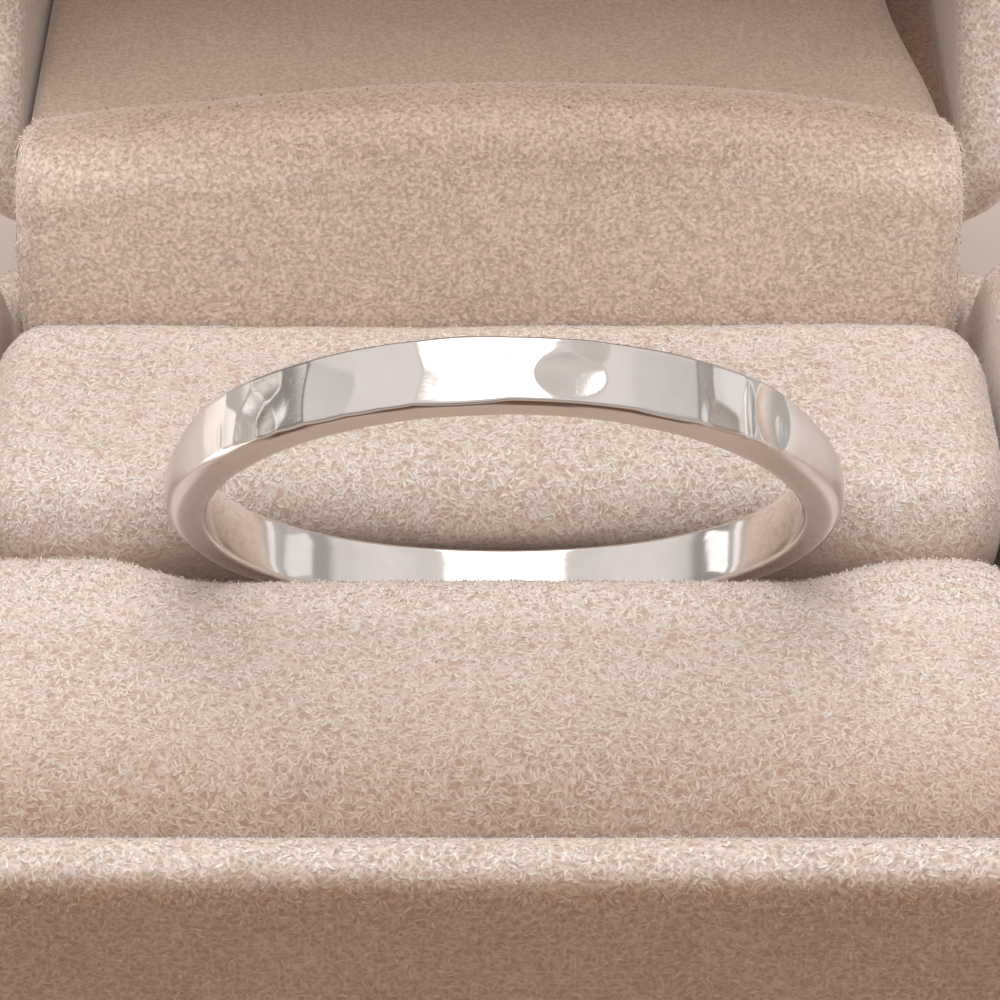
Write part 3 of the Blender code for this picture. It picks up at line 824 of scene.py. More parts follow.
def grow_curls(name, ground, count, weight, length, width, seed):
    """Ribbons that lie on the ground surface. Along each, s goes from 0 to 1 and the heading turns as
    h0 + k s + j s^2, so that some close to a ring and some bend back to an S. Each lies a hair higher or
    lower than its neighbours, so that they cross over each other."""
    rng = np.random.default_rng(seed)
    root, n = surface_samples(ground, count, weight, rng)
    t1, t2 = tangents(n)
    s = np.linspace(0.0, 1.0, CURL_STEPS + 1)[None, :]
    middle = (s[:, 1:] + s[:, :-1]) / 2
    turn = (rng.choice((-1.0, 1.0), count) * rng.uniform(*CURL_TURN, count))[:, None]
    back = np.where(rng.random((count, 1)) < S_SHARE, -turn * S_BACK, 0.0)
    heading = rng.uniform(0.0, 2 * math.pi, (count, 1)) + turn * middle + back * middle ** 2
    size = (length * rng.uniform(*CURL_LENGTHS, count))[:, None, None]
    steps = np.stack([np.cos(heading), np.sin(heading)], axis=-1)
    flat = np.concatenate([np.zeros((count, 1, 2)), np.cumsum(steps, axis=1)], axis=1) * size / CURL_STEPS
    flat = flat - flat.mean(1, keepdims=True)
    up = CURL_LIFT * rng.uniform(*CURL_LIFTS, (count, 1, 1))
    path = root[:, None] + flat[..., :1] * t1[:, None] + flat[..., 1:] * t2[:, None] + up * n[:, None]
    side = unit(np.cross(n[:, None], unit(np.gradient(path, axis=1))))
    broad = width / 2 * rng.uniform(*WIDTHS, (count, 1)) * np.sqrt(1.02 - (2 * s - 1) ** 4)
    half = side * broad[..., None]
    corners = np.stack([path - half, path + half], axis=2).reshape(count, -1, 3)
    shading = np.stack([n[:, None] - side * CURL_LEAN, n[:, None] + side * CURL_LEAN], axis=2)
    first = 2 * np.arange(CURL_STEPS)[:, None]
    triangles = np.concatenate([first + [0, 3, 1], first + [0, 2, 3]])
    # Painted highlight: a curl's colour is palest in its middle and darkest at its ends.
    highlight_along = np.repeat(np.sin(math.pi * s[0]) ** 0.5, 2)
    edges = np.tile((-1.0, 1.0), CURL_STEPS + 1)
    return fibre_mesh(name, corners, shading, triangles, highlight_along, edges, rng.random(count), root)


# %% Loose ends
FRINGE_ROOT = 0.02
FRINGE_LENGTHS = (0.5, 1.3)
FRINGE_BEND = 0.9
FRINGE_LIFT_SPREAD_DEG = 18.0
FRINGE_LIFT_LIMITS_DEG = (8.0, 85.0)
KNEE_WIDTH = 0.9
TIP_LIFT = 0.4


def grow_fringe(name, ground, count, weight, length, width, lift_deg, seed):
    """Blades of two steps: the first rises by the lift, and the second bends over to a point."""
    rng = np.random.default_rng(seed)
    root, n = surface_samples(ground, count, weight, rng)
    t1, t2 = tangents(n)
    bearing = rng.uniform(0.0, 2 * math.pi, (count, 1))
    bend = bearing + rng.normal(0.0, FRINGE_BEND, (count, 1))
    lay, lay_tip = (t1 * np.cos(turn) + t2 * np.sin(turn) for turn in (bearing, bend))
    side, side_tip = np.cross(n, lay), np.cross(n, lay_tip)
    lift = rng.normal(lift_deg, FRINGE_LIFT_SPREAD_DEG, (count, 1))
    lift = np.radians(np.clip(lift, *FRINGE_LIFT_LIMITS_DEG))
    size = length * rng.uniform(*FRINGE_LENGTHS, (count, 1))
    broad = width * rng.uniform(*WIDTHS, (count, 1)) / 2
    foot = root - n * FRINGE_ROOT
    knee = foot + size * 0.5 * (lay * np.cos(lift) + n * np.sin(lift))
    tip = knee + size * 0.5 * (lay_tip * np.cos(lift * TIP_LIFT) + n * np.sin(lift * TIP_LIFT))
    knee_half = side_tip * broad * KNEE_WIDTH
    corners = np.stack([foot - side * broad, foot + side * broad, knee - knee_half, knee + knee_half, tip],
                       axis=1)
    triangles = [[0, 3, 1], [0, 2, 3], [2, 4, 3]]
    # Painted shade at a blade's root and sides, painted highlight towards its tip.
    along, across = (0.0, 0.0, 0.7, 0.7, 1.0), (-0.6, 0.6, -0.6, 0.6, 0.0)
    return fibre_mesh(name, corners, None, triangles, along, across, rng.random(count), root)


# %% [markdown]
# ## Where the pile grows
#
# Fibres are spent where they show: on the faces and rims that look up or forward, and most of all along
# edges. The rest of each surface has the same curls in its material.

# %% Weights for the cushions and the pad
CUSHION_SHOWS_FROM = 9.0
CREST_FROM = 13.0
UNDERSIDE = (-0.35, 0.15)
SLOT_REACH = 2.6
CREST_SHARE = 0.15
PAD_LOOKS_FORWARD = 0.25
PAD_END = 0.9
PAD_TOP_FROM = 17.5
PAD_TOP_SHARE = 0.25


def facing_up(x, y, z, normals):
    """The parts of a cushion that show: all that faces up or is near the top."""
    return ease(normals[:, 2], *UNDERSIDE) * (z > CUSHION_SHOWS_FROM)


def slot_crest(x, y, z, normals):
    """The cushions' crests, most of all along the slot."""
    return (z > CREST_FROM) * (CREST_SHARE + (np.abs(y - slot_wall_y(z, x, 0)) < SLOT_REACH))


def pad_shows(x, y, z, normals):
    """The pad's top and front, over the cushions."""
    return (z > CREST_FROM) * (normals[:, 1] < PAD_LOOKS_FORWARD)


def pad_edges(x, y, z, normals):
    """The pad's two side edges, and fewer along its top."""
    at_end = np.abs(x) > PAD_HALF_X - PAD_END
    return (z > CREST_FROM) * (at_end + PAD_TOP_SHARE * (z > PAD_TOP_FROM))


# %% Weights for the box
RIM_BAND = 1.3
RIM_CREST = 0.9
WALL_SKIN = 1.2
WALL_SHARE = 0.30
FRONT_WALL_DEEP = 2.3
LOOKS_DOWN = -0.3
LID_RIM_BAND = 1.5
LID_WALL_SHARE = 0.25


def over_lid_rim(y, z):
    """Height over the lid's rim, measured as if the lid were shut."""
    return HINGE_Z + (y - HINGE_Y) - lid_rim(HINGE_Y - (z - HINGE_Z))


def rim_first(x, y, z, normals):
    """The base: dense on the rim and in front, fewer down the outside, none underneath."""
    outside = (np.abs(x) > BOX_HALF_X - WALL_SKIN) | (np.abs(y) > BOX_HALF_Y - WALL_SKIN)
    front = y < -BOX_HALF_Y + FRONT_WALL_DEEP
    rim = z > base_rim(y) - RIM_BAND
    return (rim + WALL_SHARE * outside) * (1.0 + front) * (normals[:, 2] > LOOKS_DOWN)


def rim_only(x, y, z, normals):
    """The crest of the base's rim."""
    return z > base_rim(y) - RIM_CREST


def lid_rim_first(x, y, z, normals):
    """The lid: a few everywhere, and most on its rim."""
    return LID_WALL_SHARE + (over_lid_rim(y, z) < LID_RIM_BAND)


def everywhere(x, y, z, normals):
    """The same for the whole piece."""
    return 1.0


# %% Grow it
# Ground, number of fibres, where they grow, length and width in millimetres, and seed of each mesh;
# a fringe also has its lift in degrees before the seed. The last column is the velvet's kind.
CURLS = {
    "front_cushion_pile": (front_cushion, 18500, facing_up, 0.36, 0.080, 101, "cushion"),
    "back_cushion_pile": (back_cushion, 13000, facing_up, 0.36, 0.084, 102, "cushion"),
    "rear_pad_pile": (rear_pad, 6000, pad_shows, 0.32, 0.105, 103, "pad"),
    "base_cover_pile": (base_cover, 8500, rim_first, 0.36, 0.086, 104, "box"),
    "lid_cover_pile": (lid_cover, 4500, lid_rim_first, 0.34, 0.100, 105, "box"),
    "lid_velvet_pile": (lid_velvet, 2200, everywhere, 0.32, 0.105, 106, "lining"),
}
FRINGES = {
    "base_rim_fringe": (base_cover, 9000, rim_only, 0.15, 0.034, 50.0, 107, "box"),
    "rear_pad_fringe": (rear_pad, 4500, pad_edges, 0.18, 0.036, 50.0, 108, "cushion"),
    "front_cushion_fringe": (front_cushion, 9000, slot_crest, 0.15, 0.034, 55.0, 109, "cushion"),
    "back_cushion_fringe": (back_cushion, 5000, slot_crest, 0.14, 0.034, 55.0, 110, "cushion"),
}
piles = []
for grow, table in ((grow_curls, CURLS), (grow_fringe, FRINGES)):
    for name, (ground, *sizes, kind) in table.items():
        piles.append((grow(name, ground, *sizes), ground, kind))

# %% [markdown]
# ## Painted shade on the velvet
#
# The velvet's colour is darkened where shade falls: painted shade. It darkens the base's outside walls
# below the rim, the lid's walls away from its rim, the lining towards the lid's roof, the pad's top and
# back, and the front cushion towards the front wall. A light band of it over the middle of the back
# cushion's top, and none along the pad's side edges, leaves those crests and edges paler, as painted
# sheen. Each piece gets a value from 0, unshaded, to 1, fully shaded, worked out from the place alone,
# so that the ground and its fibres agree.

# %% Where painted shade darkens the velvet
WALL_FACE = (-1.3, -0.5)
BELOW_RIM = (0.02, 0.57)
LID_BELOW_RIM = (0.5, 2.0)
LINING_PAINTED_SHADE = 0.15
LINING_DEEP = ((22.0, 34.0), 0.35)
PAD_TOP_PAINTED_SHADE = ((18.0, 19.2), 0.5)
PAD_BACK_PAINTED_SHADE = ((10.2, 11.6), 0.3)
PAD_SIDE_EDGE = (PAD_HALF_X - 0.1, PAD_HALF_X - 0.8)
CUSHION_TURNS = ((-5.5, -7.5), 0.20)
CUSHION_FALLS = ((-8.0, -16.0), 0.60)
BACK_CUSHION_TOP = ((-0.5, 1.5), 0.12)
BACK_CUSHION_END = (7.2, 5.2)


def eased(value, reach):
    """A share that comes on between two places, up to its own amount."""
    (start, end), amount = reach
    return amount * ease(value, start, end)


def painted_shade_on_base(x, y, z):
    """Painted shade on the base's outside walls, from just under the rim down."""
    outside = np.maximum(np.abs(x) - BOX_HALF_X, np.abs(y) - BOX_HALF_Y)
    return ease(outside, *WALL_FACE) * ease(base_rim(y) - z, *BELOW_RIM)


def painted_shade_on_lid(x, y, z):
    """Painted shade on the lid's walls, away from its rim."""
    return ease(over_lid_rim(y, z), *LID_BELOW_RIM)


def painted_shade_in_lid(x, y, z):
    """Painted shade: a little over all the lining, and more towards the lid's roof."""
    return LINING_PAINTED_SHADE + eased(y, LINING_DEEP)


def painted_shade_on_pad(x, y, z):
    """Painted shade over the top and the back of the pad; its front below the top and its side edges stay
    paler, as painted sheen.
    """
    return (eased(z, PAD_TOP_PAINTED_SHADE) + eased(y, PAD_BACK_PAINTED_SHADE)) * ease(np.abs(x), *PAD_SIDE_EDGE)


def painted_shade_on_front_cushion(x, y, z):
    """Painted shade, more and more towards the front wall, where the cushion turns down."""
    return eased(y, CUSHION_TURNS) + eased(y, CUSHION_FALLS)


def painted_shade_on_back_cushion(x, y, z):
    """A little painted shade along the middle of the cushion's top, so that its crests stay paler, as
    painted sheen.
    """
    return eased(y, BACK_CUSHION_TOP) * ease(y, *BACK_CUSHION_END)


# %% [markdown]
# ## Helpers for materials
#
# Colours are given as sRGB hex values, as a paint or thread card would, and turned to linear light by
# one function. One helper adds a node with its settings and its links.

# %% Colour and nodes
def to_linear(hex_code):
    """sRGB hex to linear red, green, blue and alpha."""
    channels = [int(hex_code[k:k + 2], 16) / 255.0 for k in (1, 3, 5)]
    return [c / 12.92 if c <= 0.04045 else ((c + 0.055) / 1.055) ** 2.4 for c in channels] + [1.0]


def add(tree, kind, settings=None, inputs=None):
    """Add a node; settings are its properties, and inputs are values or the sockets to link."""
    node = tree.nodes.new("ShaderNode" + kind)
    for key, value in (settings or {}).items():
        setattr(node, key, value)
    for key, value in (inputs or {}).items():
        if isinstance(value, bpy.types.NodeSocket):
            tree.links.new(value, node.inputs[key])
        else:
            node.inputs[key].default_value = value
    return node


def new_material(name):
    """A new material, its node tree and its shader."""
    material = bpy.data.materials.new(name)
    material.use_nodes = True
    return material, material.node_tree, material.node_tree.nodes["Principled BSDF"]


# %% [markdown]
# ## Silver
#
# Sterling silver, hammered and then polished on a mop: nearly white, a mirror to anything above it, with
# the finest scratches left along the band and faint grey in the hollows, which also keep small nicks.
# Tarnish browns the corner under the front edge, and the satin shanks mirror only softly.

# %% Polished sterling silver
SCRATCH_MM = 0.05
SCRATCH_STRETCH = (0.15, 1.0, 1.0)
POLISH_WAVE_MM = 0.6
NICK_MM = 0.16
NICKS_OVER = (0.58, 0.68)
MIRROR_ROUGH = (0.05, 0.12)

# Each finish with its tint and what it adds to the roughness.
SILVER_FINISHES = (("dulled", "#CBC2BB", 0.14), ("tarnished", "#6E4E3A", 0.0), ("satin", "#F6F9FD", 0.24))


def polished_silver():
    """The white metal times the tint of each finish, as far as that finish reaches."""
    material, tree, shader = new_material("polished_sterling_silver")
    place = add(tree, "TexCoord").outputs["Object"]
    stretched = add(tree, "Mapping", inputs={"Vector": place, "Scale": SCRATCH_STRETCH}).outputs["Vector"]
    scratches = add(tree, "TexNoise", inputs={
        "Vector": stretched, "Scale": 1.0 / (SCRATCH_MM * MM), "Detail": 2.0}).outputs["Fac"]
    wave = add(tree, "TexNoise", inputs={
        "Vector": place, "Scale": 1.0 / (POLISH_WAVE_MM * MM), "Detail": 1.0}).outputs["Fac"]
    colour = add(tree, "Mix", {"data_type": "RGBA"}, {
        "Factor": wave, "A": to_linear("#F0EAE6"), "B": to_linear("#F8F4F1")}).outputs["Result"]
    rough = add(tree, "MapRange", inputs={
        "Value": scratches, "To Min": MIRROR_ROUGH[0], "To Max": MIRROR_ROUGH[1]}).outputs["Result"]
    shares = {}
    for finish, tint, duller in SILVER_FINISHES:
        shares[finish] = add(tree, "Attribute", {"attribute_name": finish}).outputs["Fac"]
        colour = add(tree, "Mix", {"data_type": "RGBA", "blend_type": "MULTIPLY"}, {
            "Factor": shares[finish], "A": colour, "B": to_linear(tint)}).outputs["Result"]
        if duller:
            rough = add(tree, "Math", {"operation": "MULTIPLY_ADD"}, {
                0: shares[finish], 1: duller, 2: rough}).outputs["Value"]
    nicks = add(tree, "TexNoise", inputs={
        "Vector": place, "Scale": 1.0 / (NICK_MM * MM), "Detail": 3.0, "Distortion": 0.6}).outputs["Fac"]
    nicks = add(tree, "MapRange", inputs={
        "Value": nicks, "From Min": NICKS_OVER[0], "From Max": NICKS_OVER[1]}).outputs["Result"]
    nicks = add(tree, "Math", {"operation": "MULTIPLY"}, {0: nicks, 1: shares["dulled"]}).outputs["Value"]
    fine = add(tree, "Bump", inputs={"Strength": 0.10, "Distance": 0.004 * MM, "Height": scratches})
    soft = add(tree, "Bump", inputs={
        "Strength": 0.35, "Distance": 0.006 * MM, "Height": wave, "Normal": fine.outputs["Normal"]})
    struck = add(tree, "Bump", inputs={
        "Strength": 0.22, "Distance": 0.010 * MM, "Height": nicks, "Normal": soft.outputs["Normal"]})
    tree.links.new(colour, shader.inputs["Base Color"])
    tree.links.new(rough, shader.inputs["Roughness"])
    tree.links.new(struck.outputs["Normal"], shader.inputs["Normal"])
    shader.inputs["Metallic"].default_value = 1.0
    return material


# %% [markdown]
# ## Velvet
#
# Cotton velvet flock. The ground under the ribbons carries the same curls, too many to model one by one:
# where a smooth noise crosses its middle value it draws a thin curved line, and three such sets of lines
# over each other look like curled fibres. They lift the surface in the bump and pale the colour: the
# darker hollows between them are painted shade, and the pale curls partly painted sheen. Ground and
# fibres share the grain of the tufts, and the darker tint of the painted shade. The pile scatters light
# forward at grazing angles, which the sheen gives.

# %% What velvets share
CURL_OFFSETS = ((0.0, 0.0, 0.0), (0.013, 0.007, 0.021), (0.031, 0.017, 0.005))
LOWER_CURLS = 0.16
NOISE_SLOPE = 0.40
TUFT_MM = 0.13
TUFT_SPREAD = (0.34, 0.66)

# Colours of the ground from its hollows, darker as painted shade, to its curls, paler partly as painted
# sheen; of a fibre from its root and sides, painted shade, to its tip and ridge, painted highlight; the
# tint of the painted shade; the size of a curl and the width of its line; how much the tufts darken.
VELVET_COLUMNS = ("deep", "middle", "pale", "root", "tip", "painted_shade", "curl_mm", "line_mm", "tufts")
VELVETS = {
    "cushion": ("#C6AE9E", "#D2C0B3", "#E3D7CF", "#D2BFB2", "#EFE8E3", "#C2AC9C", 0.28, 0.075, 0.04),
    # The pad's velvet is paler than the cushions' though it is the same cloth: painted light on the pad.
    "pad": ("#D6BEAD", "#E0CABA", "#EBDACD", "#DCC6B6", "#ECDBCF", "#BFAFA3", 0.24, 0.090, 0.15),
    "lining": ("#CBB4A2", "#D1BBAA", "#D8C5B5", "#CEB8A7", "#D9C7B7", "#C2AC9C", 0.24, 0.090, 0.10),
    "box": ("#C3AD9D", "#CEBCB0", "#DFD3CB", "#CCBAAE", "#EAE2DC", "#C2AC9C", 0.28, 0.075, 0.12),
}


def curl_lines(tree, curl_mm, line_mm):
    """Height from 0 to 1 of the curls: the highest of three sets of lines where a noise is near 0.5. The
    noise climbs about 0.4 in one wavelength, which turns the width of a line into a share of it."""
    highest = None
    share = line_mm * NOISE_SLOPE / curl_mm
    place = add(tree, "TexCoord").outputs["Object"]
    for below, offset in enumerate(CURL_OFFSETS):
        moved = add(tree, "Mapping", inputs={"Vector": place, "Location": offset}).outputs["Vector"]
        value = add(tree, "TexNoise", inputs={
            "Vector": moved, "Scale": 1.0 / (curl_mm * MM), "Detail": 0.0}).outputs["Fac"]
        away = add(tree, "Math", {"operation": "SUBTRACT"}, {0: value, 1: 0.5}).outputs["Value"]
        away = add(tree, "Math", {"operation": "ABSOLUTE"}, {0: away}).outputs["Value"]
        line = add(tree, "MapRange", {"interpolation_type": "SMOOTHSTEP"}, {
            "Value": away, "From Min": share, "From Max": 0.0,
            "To Min": 0.0, "To Max": 1.0 - LOWER_CURLS * below}).outputs["Result"]
        highest = line if highest is None else add(tree, "Math", {"operation": "MAXIMUM"}, {
            0: highest, 1: line}).outputs["Value"]
    return highest


VELVET_GLOSS = {"Roughness": 0.9, "Specular IOR Level": 0.2, "Sheen Weight": 1.0, "Sheen Roughness": 0.50,
                "Sheen Tint": to_linear("#FBF1E8")}


def finish_velvet(tree, shader, colour, velvet):
    """What ground and fibres share. Pile stands in small tufts with darker gaps, so a noise of their
    size scales the colour. Where a piece's shade value says so, the colour is tinted darker: painted shade."""
    place = add(tree, "TexCoord").outputs["Object"]
    tufts = add(tree, "TexNoise", inputs={
        "Vector": place, "Scale": 1.0 / (TUFT_MM * MM), "Detail": 0.0}).outputs["Fac"]
    shade = add(tree, "MapRange", inputs={
        "Value": tufts, "From Min": TUFT_SPREAD[0], "From Max": TUFT_SPREAD[1],
        "To Min": 1.0 - velvet["tufts"], "To Max": 1.0 + velvet["tufts"]}).outputs["Result"]
    grained = add(tree, "VectorMath", {"operation": "SCALE"}, {0: colour, "Scale": shade}).outputs["Vector"]
    # Painted shade: the colour is multiplied by the shade tint as far as the piece's shade value says.
    painted_shade = add(tree, "Attribute", {"attribute_name": "painted_shade"}).outputs["Fac"]
    colour_with_painted_shade = add(tree, "Mix", {"data_type": "RGBA", "blend_type": "MULTIPLY"}, {
        "Factor": painted_shade, "A": grained, "B": to_linear(velvet["painted_shade"])}).outputs["Result"]
    tree.links.new(colour_with_painted_shade, shader.inputs["Base Color"])
    for socket, value in VELVET_GLOSS.items():
        shader.inputs[socket].default_value = value


# %% Grounds and fibres of each velvet
PATCH_MM = 3.5
PATCH_SPREAD = (0.3, 0.7)
PATCH_LEVELS = (0.95, 1.04)
MIDDLE_STOP = 0.45
CURL_BUMP = 0.8
CURL_BUMP_MM = 0.010
RIDGE_WIDTH = (1.0, 0.15)
TONE_LEVELS = (0.93, 1.03)


def velvet_ground(kind, velvet):
    """The ground's colour climbs with its curls, from hollows darkened as painted shade to curls paled
    partly as painted sheen, in slow patches a little darker and paler.
    """
    material, tree, shader = new_material("cotton_velvet_" + kind)
    curls = curl_lines(tree, velvet["curl_mm"], velvet["line_mm"])
    ramp = add(tree, "ValToRGB", inputs={"Fac": curls})
    elements = ramp.color_ramp.elements
    elements[0].color, elements[1].color = to_linear(velvet["deep"]), to_linear(velvet["pale"])
    elements.new(MIDDLE_STOP).color = to_linear(velvet["middle"])
    place = add(tree, "TexCoord").outputs["Object"]
    patch = add(tree, "TexNoise", inputs={
        "Vector": place, "Scale": 1.0 / (PATCH_MM * MM), "Detail": 2.0}).outputs["Fac"]
    shade = add(tree, "MapRange", inputs={
        "Value": patch, "From Min": PATCH_SPREAD[0], "From Max": PATCH_SPREAD[1],
        "To Min": PATCH_LEVELS[0], "To Max": PATCH_LEVELS[1]}).outputs["Result"]
    colour = add(tree, "VectorMath", {"operation": "SCALE"}, {
        0: ramp.outputs["Color"], "Scale": shade}).outputs["Vector"]
    finish_velvet(tree, shader, colour, velvet)
    bump = add(tree, "Bump", inputs={
        "Strength": CURL_BUMP, "Distance": CURL_BUMP_MM * MM, "Height": curls})
    tree.links.new(bump.outputs["Normal"], shader.inputs["Normal"])
    return material


def velvet_fibre(kind, velvet):
    """A fibre is paler at its tip and along the ridge of its back, 1 - across^2, than at its sides and
    root: painted highlight and painted shade, which make a flat ribbon look round.
    """
    material, tree, shader = new_material("cotton_velvet_" + kind + "_pile")
    along, across, tone = (add(tree, "Attribute", {"attribute_name": name}).outputs["Fac"]
                           for name in ("along_fibre", "across_fibre", "fibre_tone"))
    squared = add(tree, "Math", {"operation": "POWER"}, {0: across, 1: 2.0}).outputs["Value"]
    ridge = add(tree, "MapRange", {"interpolation_type": "SMOOTHSTEP"}, {
        "Value": squared, "From Min": RIDGE_WIDTH[0], "From Max": RIDGE_WIDTH[1]}).outputs["Result"]
    lit = add(tree, "Math", {"operation": "MULTIPLY"}, {0: ridge, 1: along}).outputs["Value"]
    colour = add(tree, "Mix", {"data_type": "RGBA"}, {
        "Factor": lit, "A": to_linear(velvet["root"]), "B": to_linear(velvet["tip"])}).outputs["Result"]
    shade = add(tree, "MapRange", inputs={
        "Value": tone, "To Min": TONE_LEVELS[0], "To Max": TONE_LEVELS[1]}).outputs["Result"]
    toned = add(tree, "VectorMath", {"operation": "SCALE"}, {0: colour, "Scale": shade}).outputs["Vector"]
    finish_velvet(tree, shader, toned, velvet)
    return material


velvets = {kind: dict(zip(VELVET_COLUMNS, row)) for kind, row in VELVETS.items()}
grounds = {kind: velvet_ground(kind, velvet) for kind, velvet in velvets.items()}
fibres = {kind: velvet_fibre(kind, velvet) for kind, velvet in velvets.items()}
print("velvets:", sorted(velvets))

# %% [markdown]
# ## Hinge wire
#
# Bare drawn steel wire: grey, and rougher round than along, from the die that it was pulled through.

# %% Drawn steel wire
DRAWN_MM = 0.06
DRAWN_STRETCH = (0.05, 1.0, 1.0)


def drawn_steel():
    """A noise stretched along the wire greys it in lines and lifts them in the bump."""
    material, tree, shader = new_material("drawn_steel_wire")
    place = add(tree, "TexCoord").outputs["Object"]
    drawn = add(tree, "Mapping", inputs={"Vector": place, "Scale": DRAWN_STRETCH}).outputs["Vector"]
    lines = add(tree, "TexNoise", inputs={
        "Vector": drawn, "Scale": 1.0 / (DRAWN_MM * MM), "Detail": 3.0}).outputs["Fac"]
    colour = add(tree, "Mix", {"data_type": "RGBA"}, {
        "Factor": lines, "A": to_linear("#8F8F92"), "B": to_linear("#B9B9BC")}).outputs["Result"]
    bump = add(tree, "Bump", inputs={"Strength": 0.4, "Distance": 0.01 * MM, "Height": lines})
    tree.links.new(colour, shader.inputs["Base Color"])
    tree.links.new(bump.outputs["Normal"], shader.inputs["Normal"])
    shader.inputs["Metallic"].default_value = 1.0
    shader.inputs["Roughness"].default_value = 0.38
    return material


steel = drawn_steel()
for slot_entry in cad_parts["hinge_pin"].material_slots:
    slot_entry.material = steel

# %% [markdown]
# ## Putting the pieces together
#
# Each surface takes its material, stands for its solid, and rides on the body that carries it. Its
# fibres ride along and take the same painted shade.

# %% Dress the pieces
def dress(piece, material, body, painted_shade_at=None):
    """Material and body of a piece, and where painted shade darkens it."""
    piece.data.materials.append(material)
    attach(piece, body)
    if painted_shade_at:
        store_floats(piece.data, "painted_shade", painted_shade_at(*vertex_arrays(piece)[0].T))


# The third column of each row says where painted shade darkens the piece and its fibres.
DRESSING = (
    (front_cushion, "cushion", painted_shade_on_front_cushion, "base", "front_roll", "roll_velvet"),
    (back_cushion, "cushion", painted_shade_on_back_cushion, "base", "back_roll", "roll_velvet"),
    (rear_pad, "pad", painted_shade_on_pad, "base", "hinge_pad", "roll_velvet"),
    (base_cover, "box", painted_shade_on_base, "base", "box_base", "shell_velvet"),
    (lid_cover, "box", painted_shade_on_lid, "lid", "lid_shell", "shell_velvet"),
    (lid_velvet, "lining", painted_shade_in_lid, "lid", "lid_lining", "lining_velvet"),
)
dress(ring, polished_silver(), "base")
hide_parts("ring_band")
for surface, kind, painted_shade_at, body, node, slot in DRESSING:
    dress(surface, grounds[kind], body, painted_shade_at)
    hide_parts(node)
    for pile, ground, pile_kind in piles:
        if ground is surface:
            dress(pile, fibres[pile_kind], body, painted_shade_at)

added = [ring] + [row[0] for row in DRESSING] + [row[0] for row in piles]
triangles = [len(piece.data.loops) - 2 * len(piece.data.polygons) for piece in added]
print("triangles added in all:", sum(triangles), "and the most in one piece:", max(triangles))

# %% [markdown]
# ## Floor, light and surroundings
#
# Silver shows what is round it, so the light is part of the finish. One soft box hangs overhead: it
# whitens the top of the band and the bottom of its inside. A panel on each side gives a bright band
# inside the ring. A low strip on the left glints along the bevel of the front edge, and a card on each
# side keeps the floor's colour out of the shanks. Three large lights that silver doesn't show light the
# velvet. Round all of it the room is a calm grey, darker towards the front and in some layers.

# %% Floor
FLOOR_HALF = 600.0
floor_mesh = bpy.data.meshes.new("floor")
floor_mesh.from_pydata([(x * FLOOR_HALF * MM, y * FLOOR_HALF * MM, 0.0)
                        for x, y in ((-1, -1), (1, -1), (1, 1), (-1, 1))], [], [(0, 1, 2, 3)])
paper, _, paper_shader = new_material("matt_paper_floor")
paper_shader.inputs["Base Color"].default_value = to_linear("#CBBEB4")
paper_shader.inputs["Roughness"].default_value = 0.8
floor_mesh.materials.append(paper)
new_object("floor", floor_mesh)

# %% Lights
# Place, aim and size in millimetres, radiance, and whether silver shows the light.
LIGHTS = {
    "overhead_soft_box": ((0.0, 3.0, 400.0), (0.0, 3.0, 0.0), (240.0, 314.0), 1.6, True),
    "left_panel": ((-100.0, 24.0, 41.5), (0.0, 24.0, 41.5), (16.0, 24.0), 0.9, True),
    "edge_strip": ((-62.0, -1.0, 4.2), (0.0, -1.0, 4.2), (30.0, 7.4), 1.6, True),
    "left_card": ((-62.0, 21.0, 14.0), (0.0, 21.0, 14.0), (22.0, 13.0), 0.45, True),
    "right_card": ((62.0, 21.0, 14.0), (0.0, 21.0, 14.0), (22.0, 13.0), 0.38, True),
    "right_panel": ((100.0, 17.0, 45.5), (0.0, 17.0, 45.5), (18.0, 27.0), 0.30, True),
    "top_light": ((0.0, -20.0, 430.0), (0.0, 0.0, 0.0), (320.0, 320.0), 1.7, False),
    "front_light": ((0.0, -320.0, 260.0), (0.0, 0.0, 15.0), (300.0, 120.0), 0.8, False),
    "rear_light": ((0.0, 240.0, 330.0), (0.0, 0.0, 15.0), (300.0, 120.0), 2.3, False),
}


def soft_box(name, at_mm, aim_mm, size_mm, radiance, in_silver):
    """A rectangular light of even radiance: power is radiance times pi times area."""
    data = bpy.data.lights.new(name, "AREA")
    data.shape = "RECTANGLE"
    data.size, data.size_y = size_mm[0] * MM, size_mm[1] * MM
    data.energy = radiance * math.pi * data.size * data.size_y
    light = new_object(name, data)
    light.location = [value * MM for value in at_mm]
    light.rotation_euler = (Vector(aim_mm) - Vector(at_mm)).to_track_quat("-Z", "Y").to_euler()
    light.visible_camera = False
    light.visible_glossy = in_silver


for name, row in LIGHTS.items():
    soft_box(name, *row)
print("lights:", len(LIGHTS))

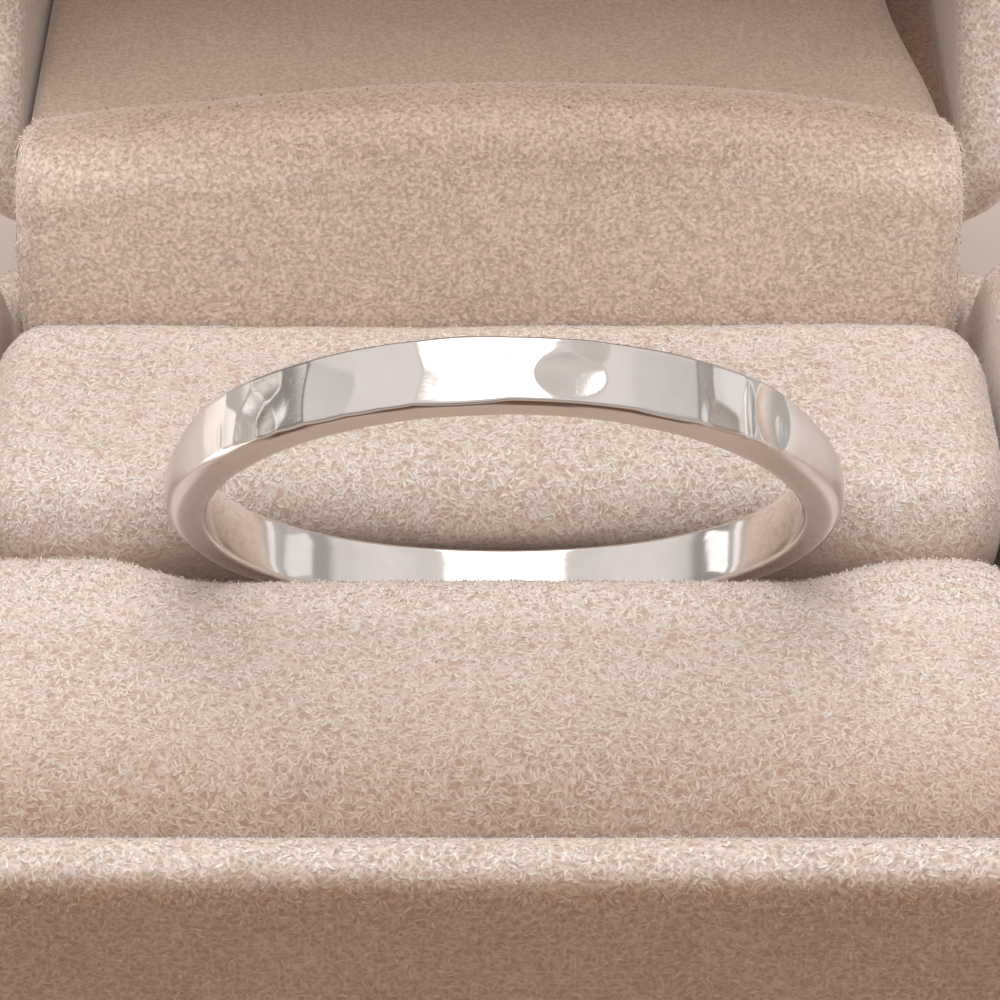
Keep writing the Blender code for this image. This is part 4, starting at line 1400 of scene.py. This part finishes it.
# %% Room round the silver
# Brightness of the room by the height of the direction, from the horizon at 0 to overhead at 1.
ROOM_LEFT = ((0.0, 0.55), (0.10, 0.50), (0.17, 0.34), (0.30, 0.31), (0.40, 0.33), (0.47, 0.66),
             (0.60, 0.76), (0.80, 0.78), (0.90, 0.70), (1.0, 0.70))
ROOM_RIGHT = ((0.0, 0.55), (0.13, 0.50), (0.17, 0.42), (0.22, 0.52), (0.38, 0.54), (0.42, 0.38),
              (0.50, 0.38), (0.56, 0.70), (0.66, 0.72), (0.80, 0.80), (0.90, 0.70),
              (1.0, 0.70))
ROOM_TINT = np.array((1.0, 0.94, 0.905))
SIDES_MEET = (-0.1, 0.1)
FRONT_FROM = (-0.75, -0.28)
FRONT_LEVEL = 0.85


def room_levels(tree, climb, levels):
    """Colour of the room over the heights: its one tint at each level of brightness."""
    ramp = add(tree, "ValToRGB", inputs={"Fac": climb})
    elements = ramp.color_ramp.elements
    colours = [(stop, [*(level * ROOM_TINT), 1.0]) for stop, level in levels]
    elements[0].color, elements[1].color = colours[0][1], colours[-1][1]
    for stop, colour in colours[1:-1]:
        elements.new(stop).color = colour
    return ramp.outputs["Color"]


world = bpy.data.worlds.new("studio")
bpy.context.scene.world = world
world.use_nodes = True
sky = world.node_tree
direction = add(sky, "TexCoord").outputs["Generated"]
axes = add(sky, "SeparateXYZ", inputs={"Vector": direction}).outputs
to_right = add(sky, "MapRange", {"interpolation_type": "SMOOTHSTEP"}, {
    "Value": axes["X"], "From Min": SIDES_MEET[0], "From Max": SIDES_MEET[1]}).outputs["Result"]
both_sides = add(sky, "Mix", {"data_type": "RGBA"}, {
    "Factor": to_right, "A": room_levels(sky, axes["Z"], ROOM_LEFT),
    "B": room_levels(sky, axes["Z"], ROOM_RIGHT)}).outputs["Result"]
towards_front = add(sky, "MapRange", {"interpolation_type": "SMOOTHSTEP"}, {
    "Value": axes["Y"], "From Min": FRONT_FROM[0], "From Max": FRONT_FROM[1],
    "To Min": FRONT_LEVEL, "To Max": 1.0}).outputs["Result"]
dimmed = add(sky, "VectorMath", {"operation": "SCALE"}, {0: both_sides, "Scale": towards_front})
sky.links.new(dimmed.outputs["Vector"], sky.nodes["Background"].inputs["Color"])
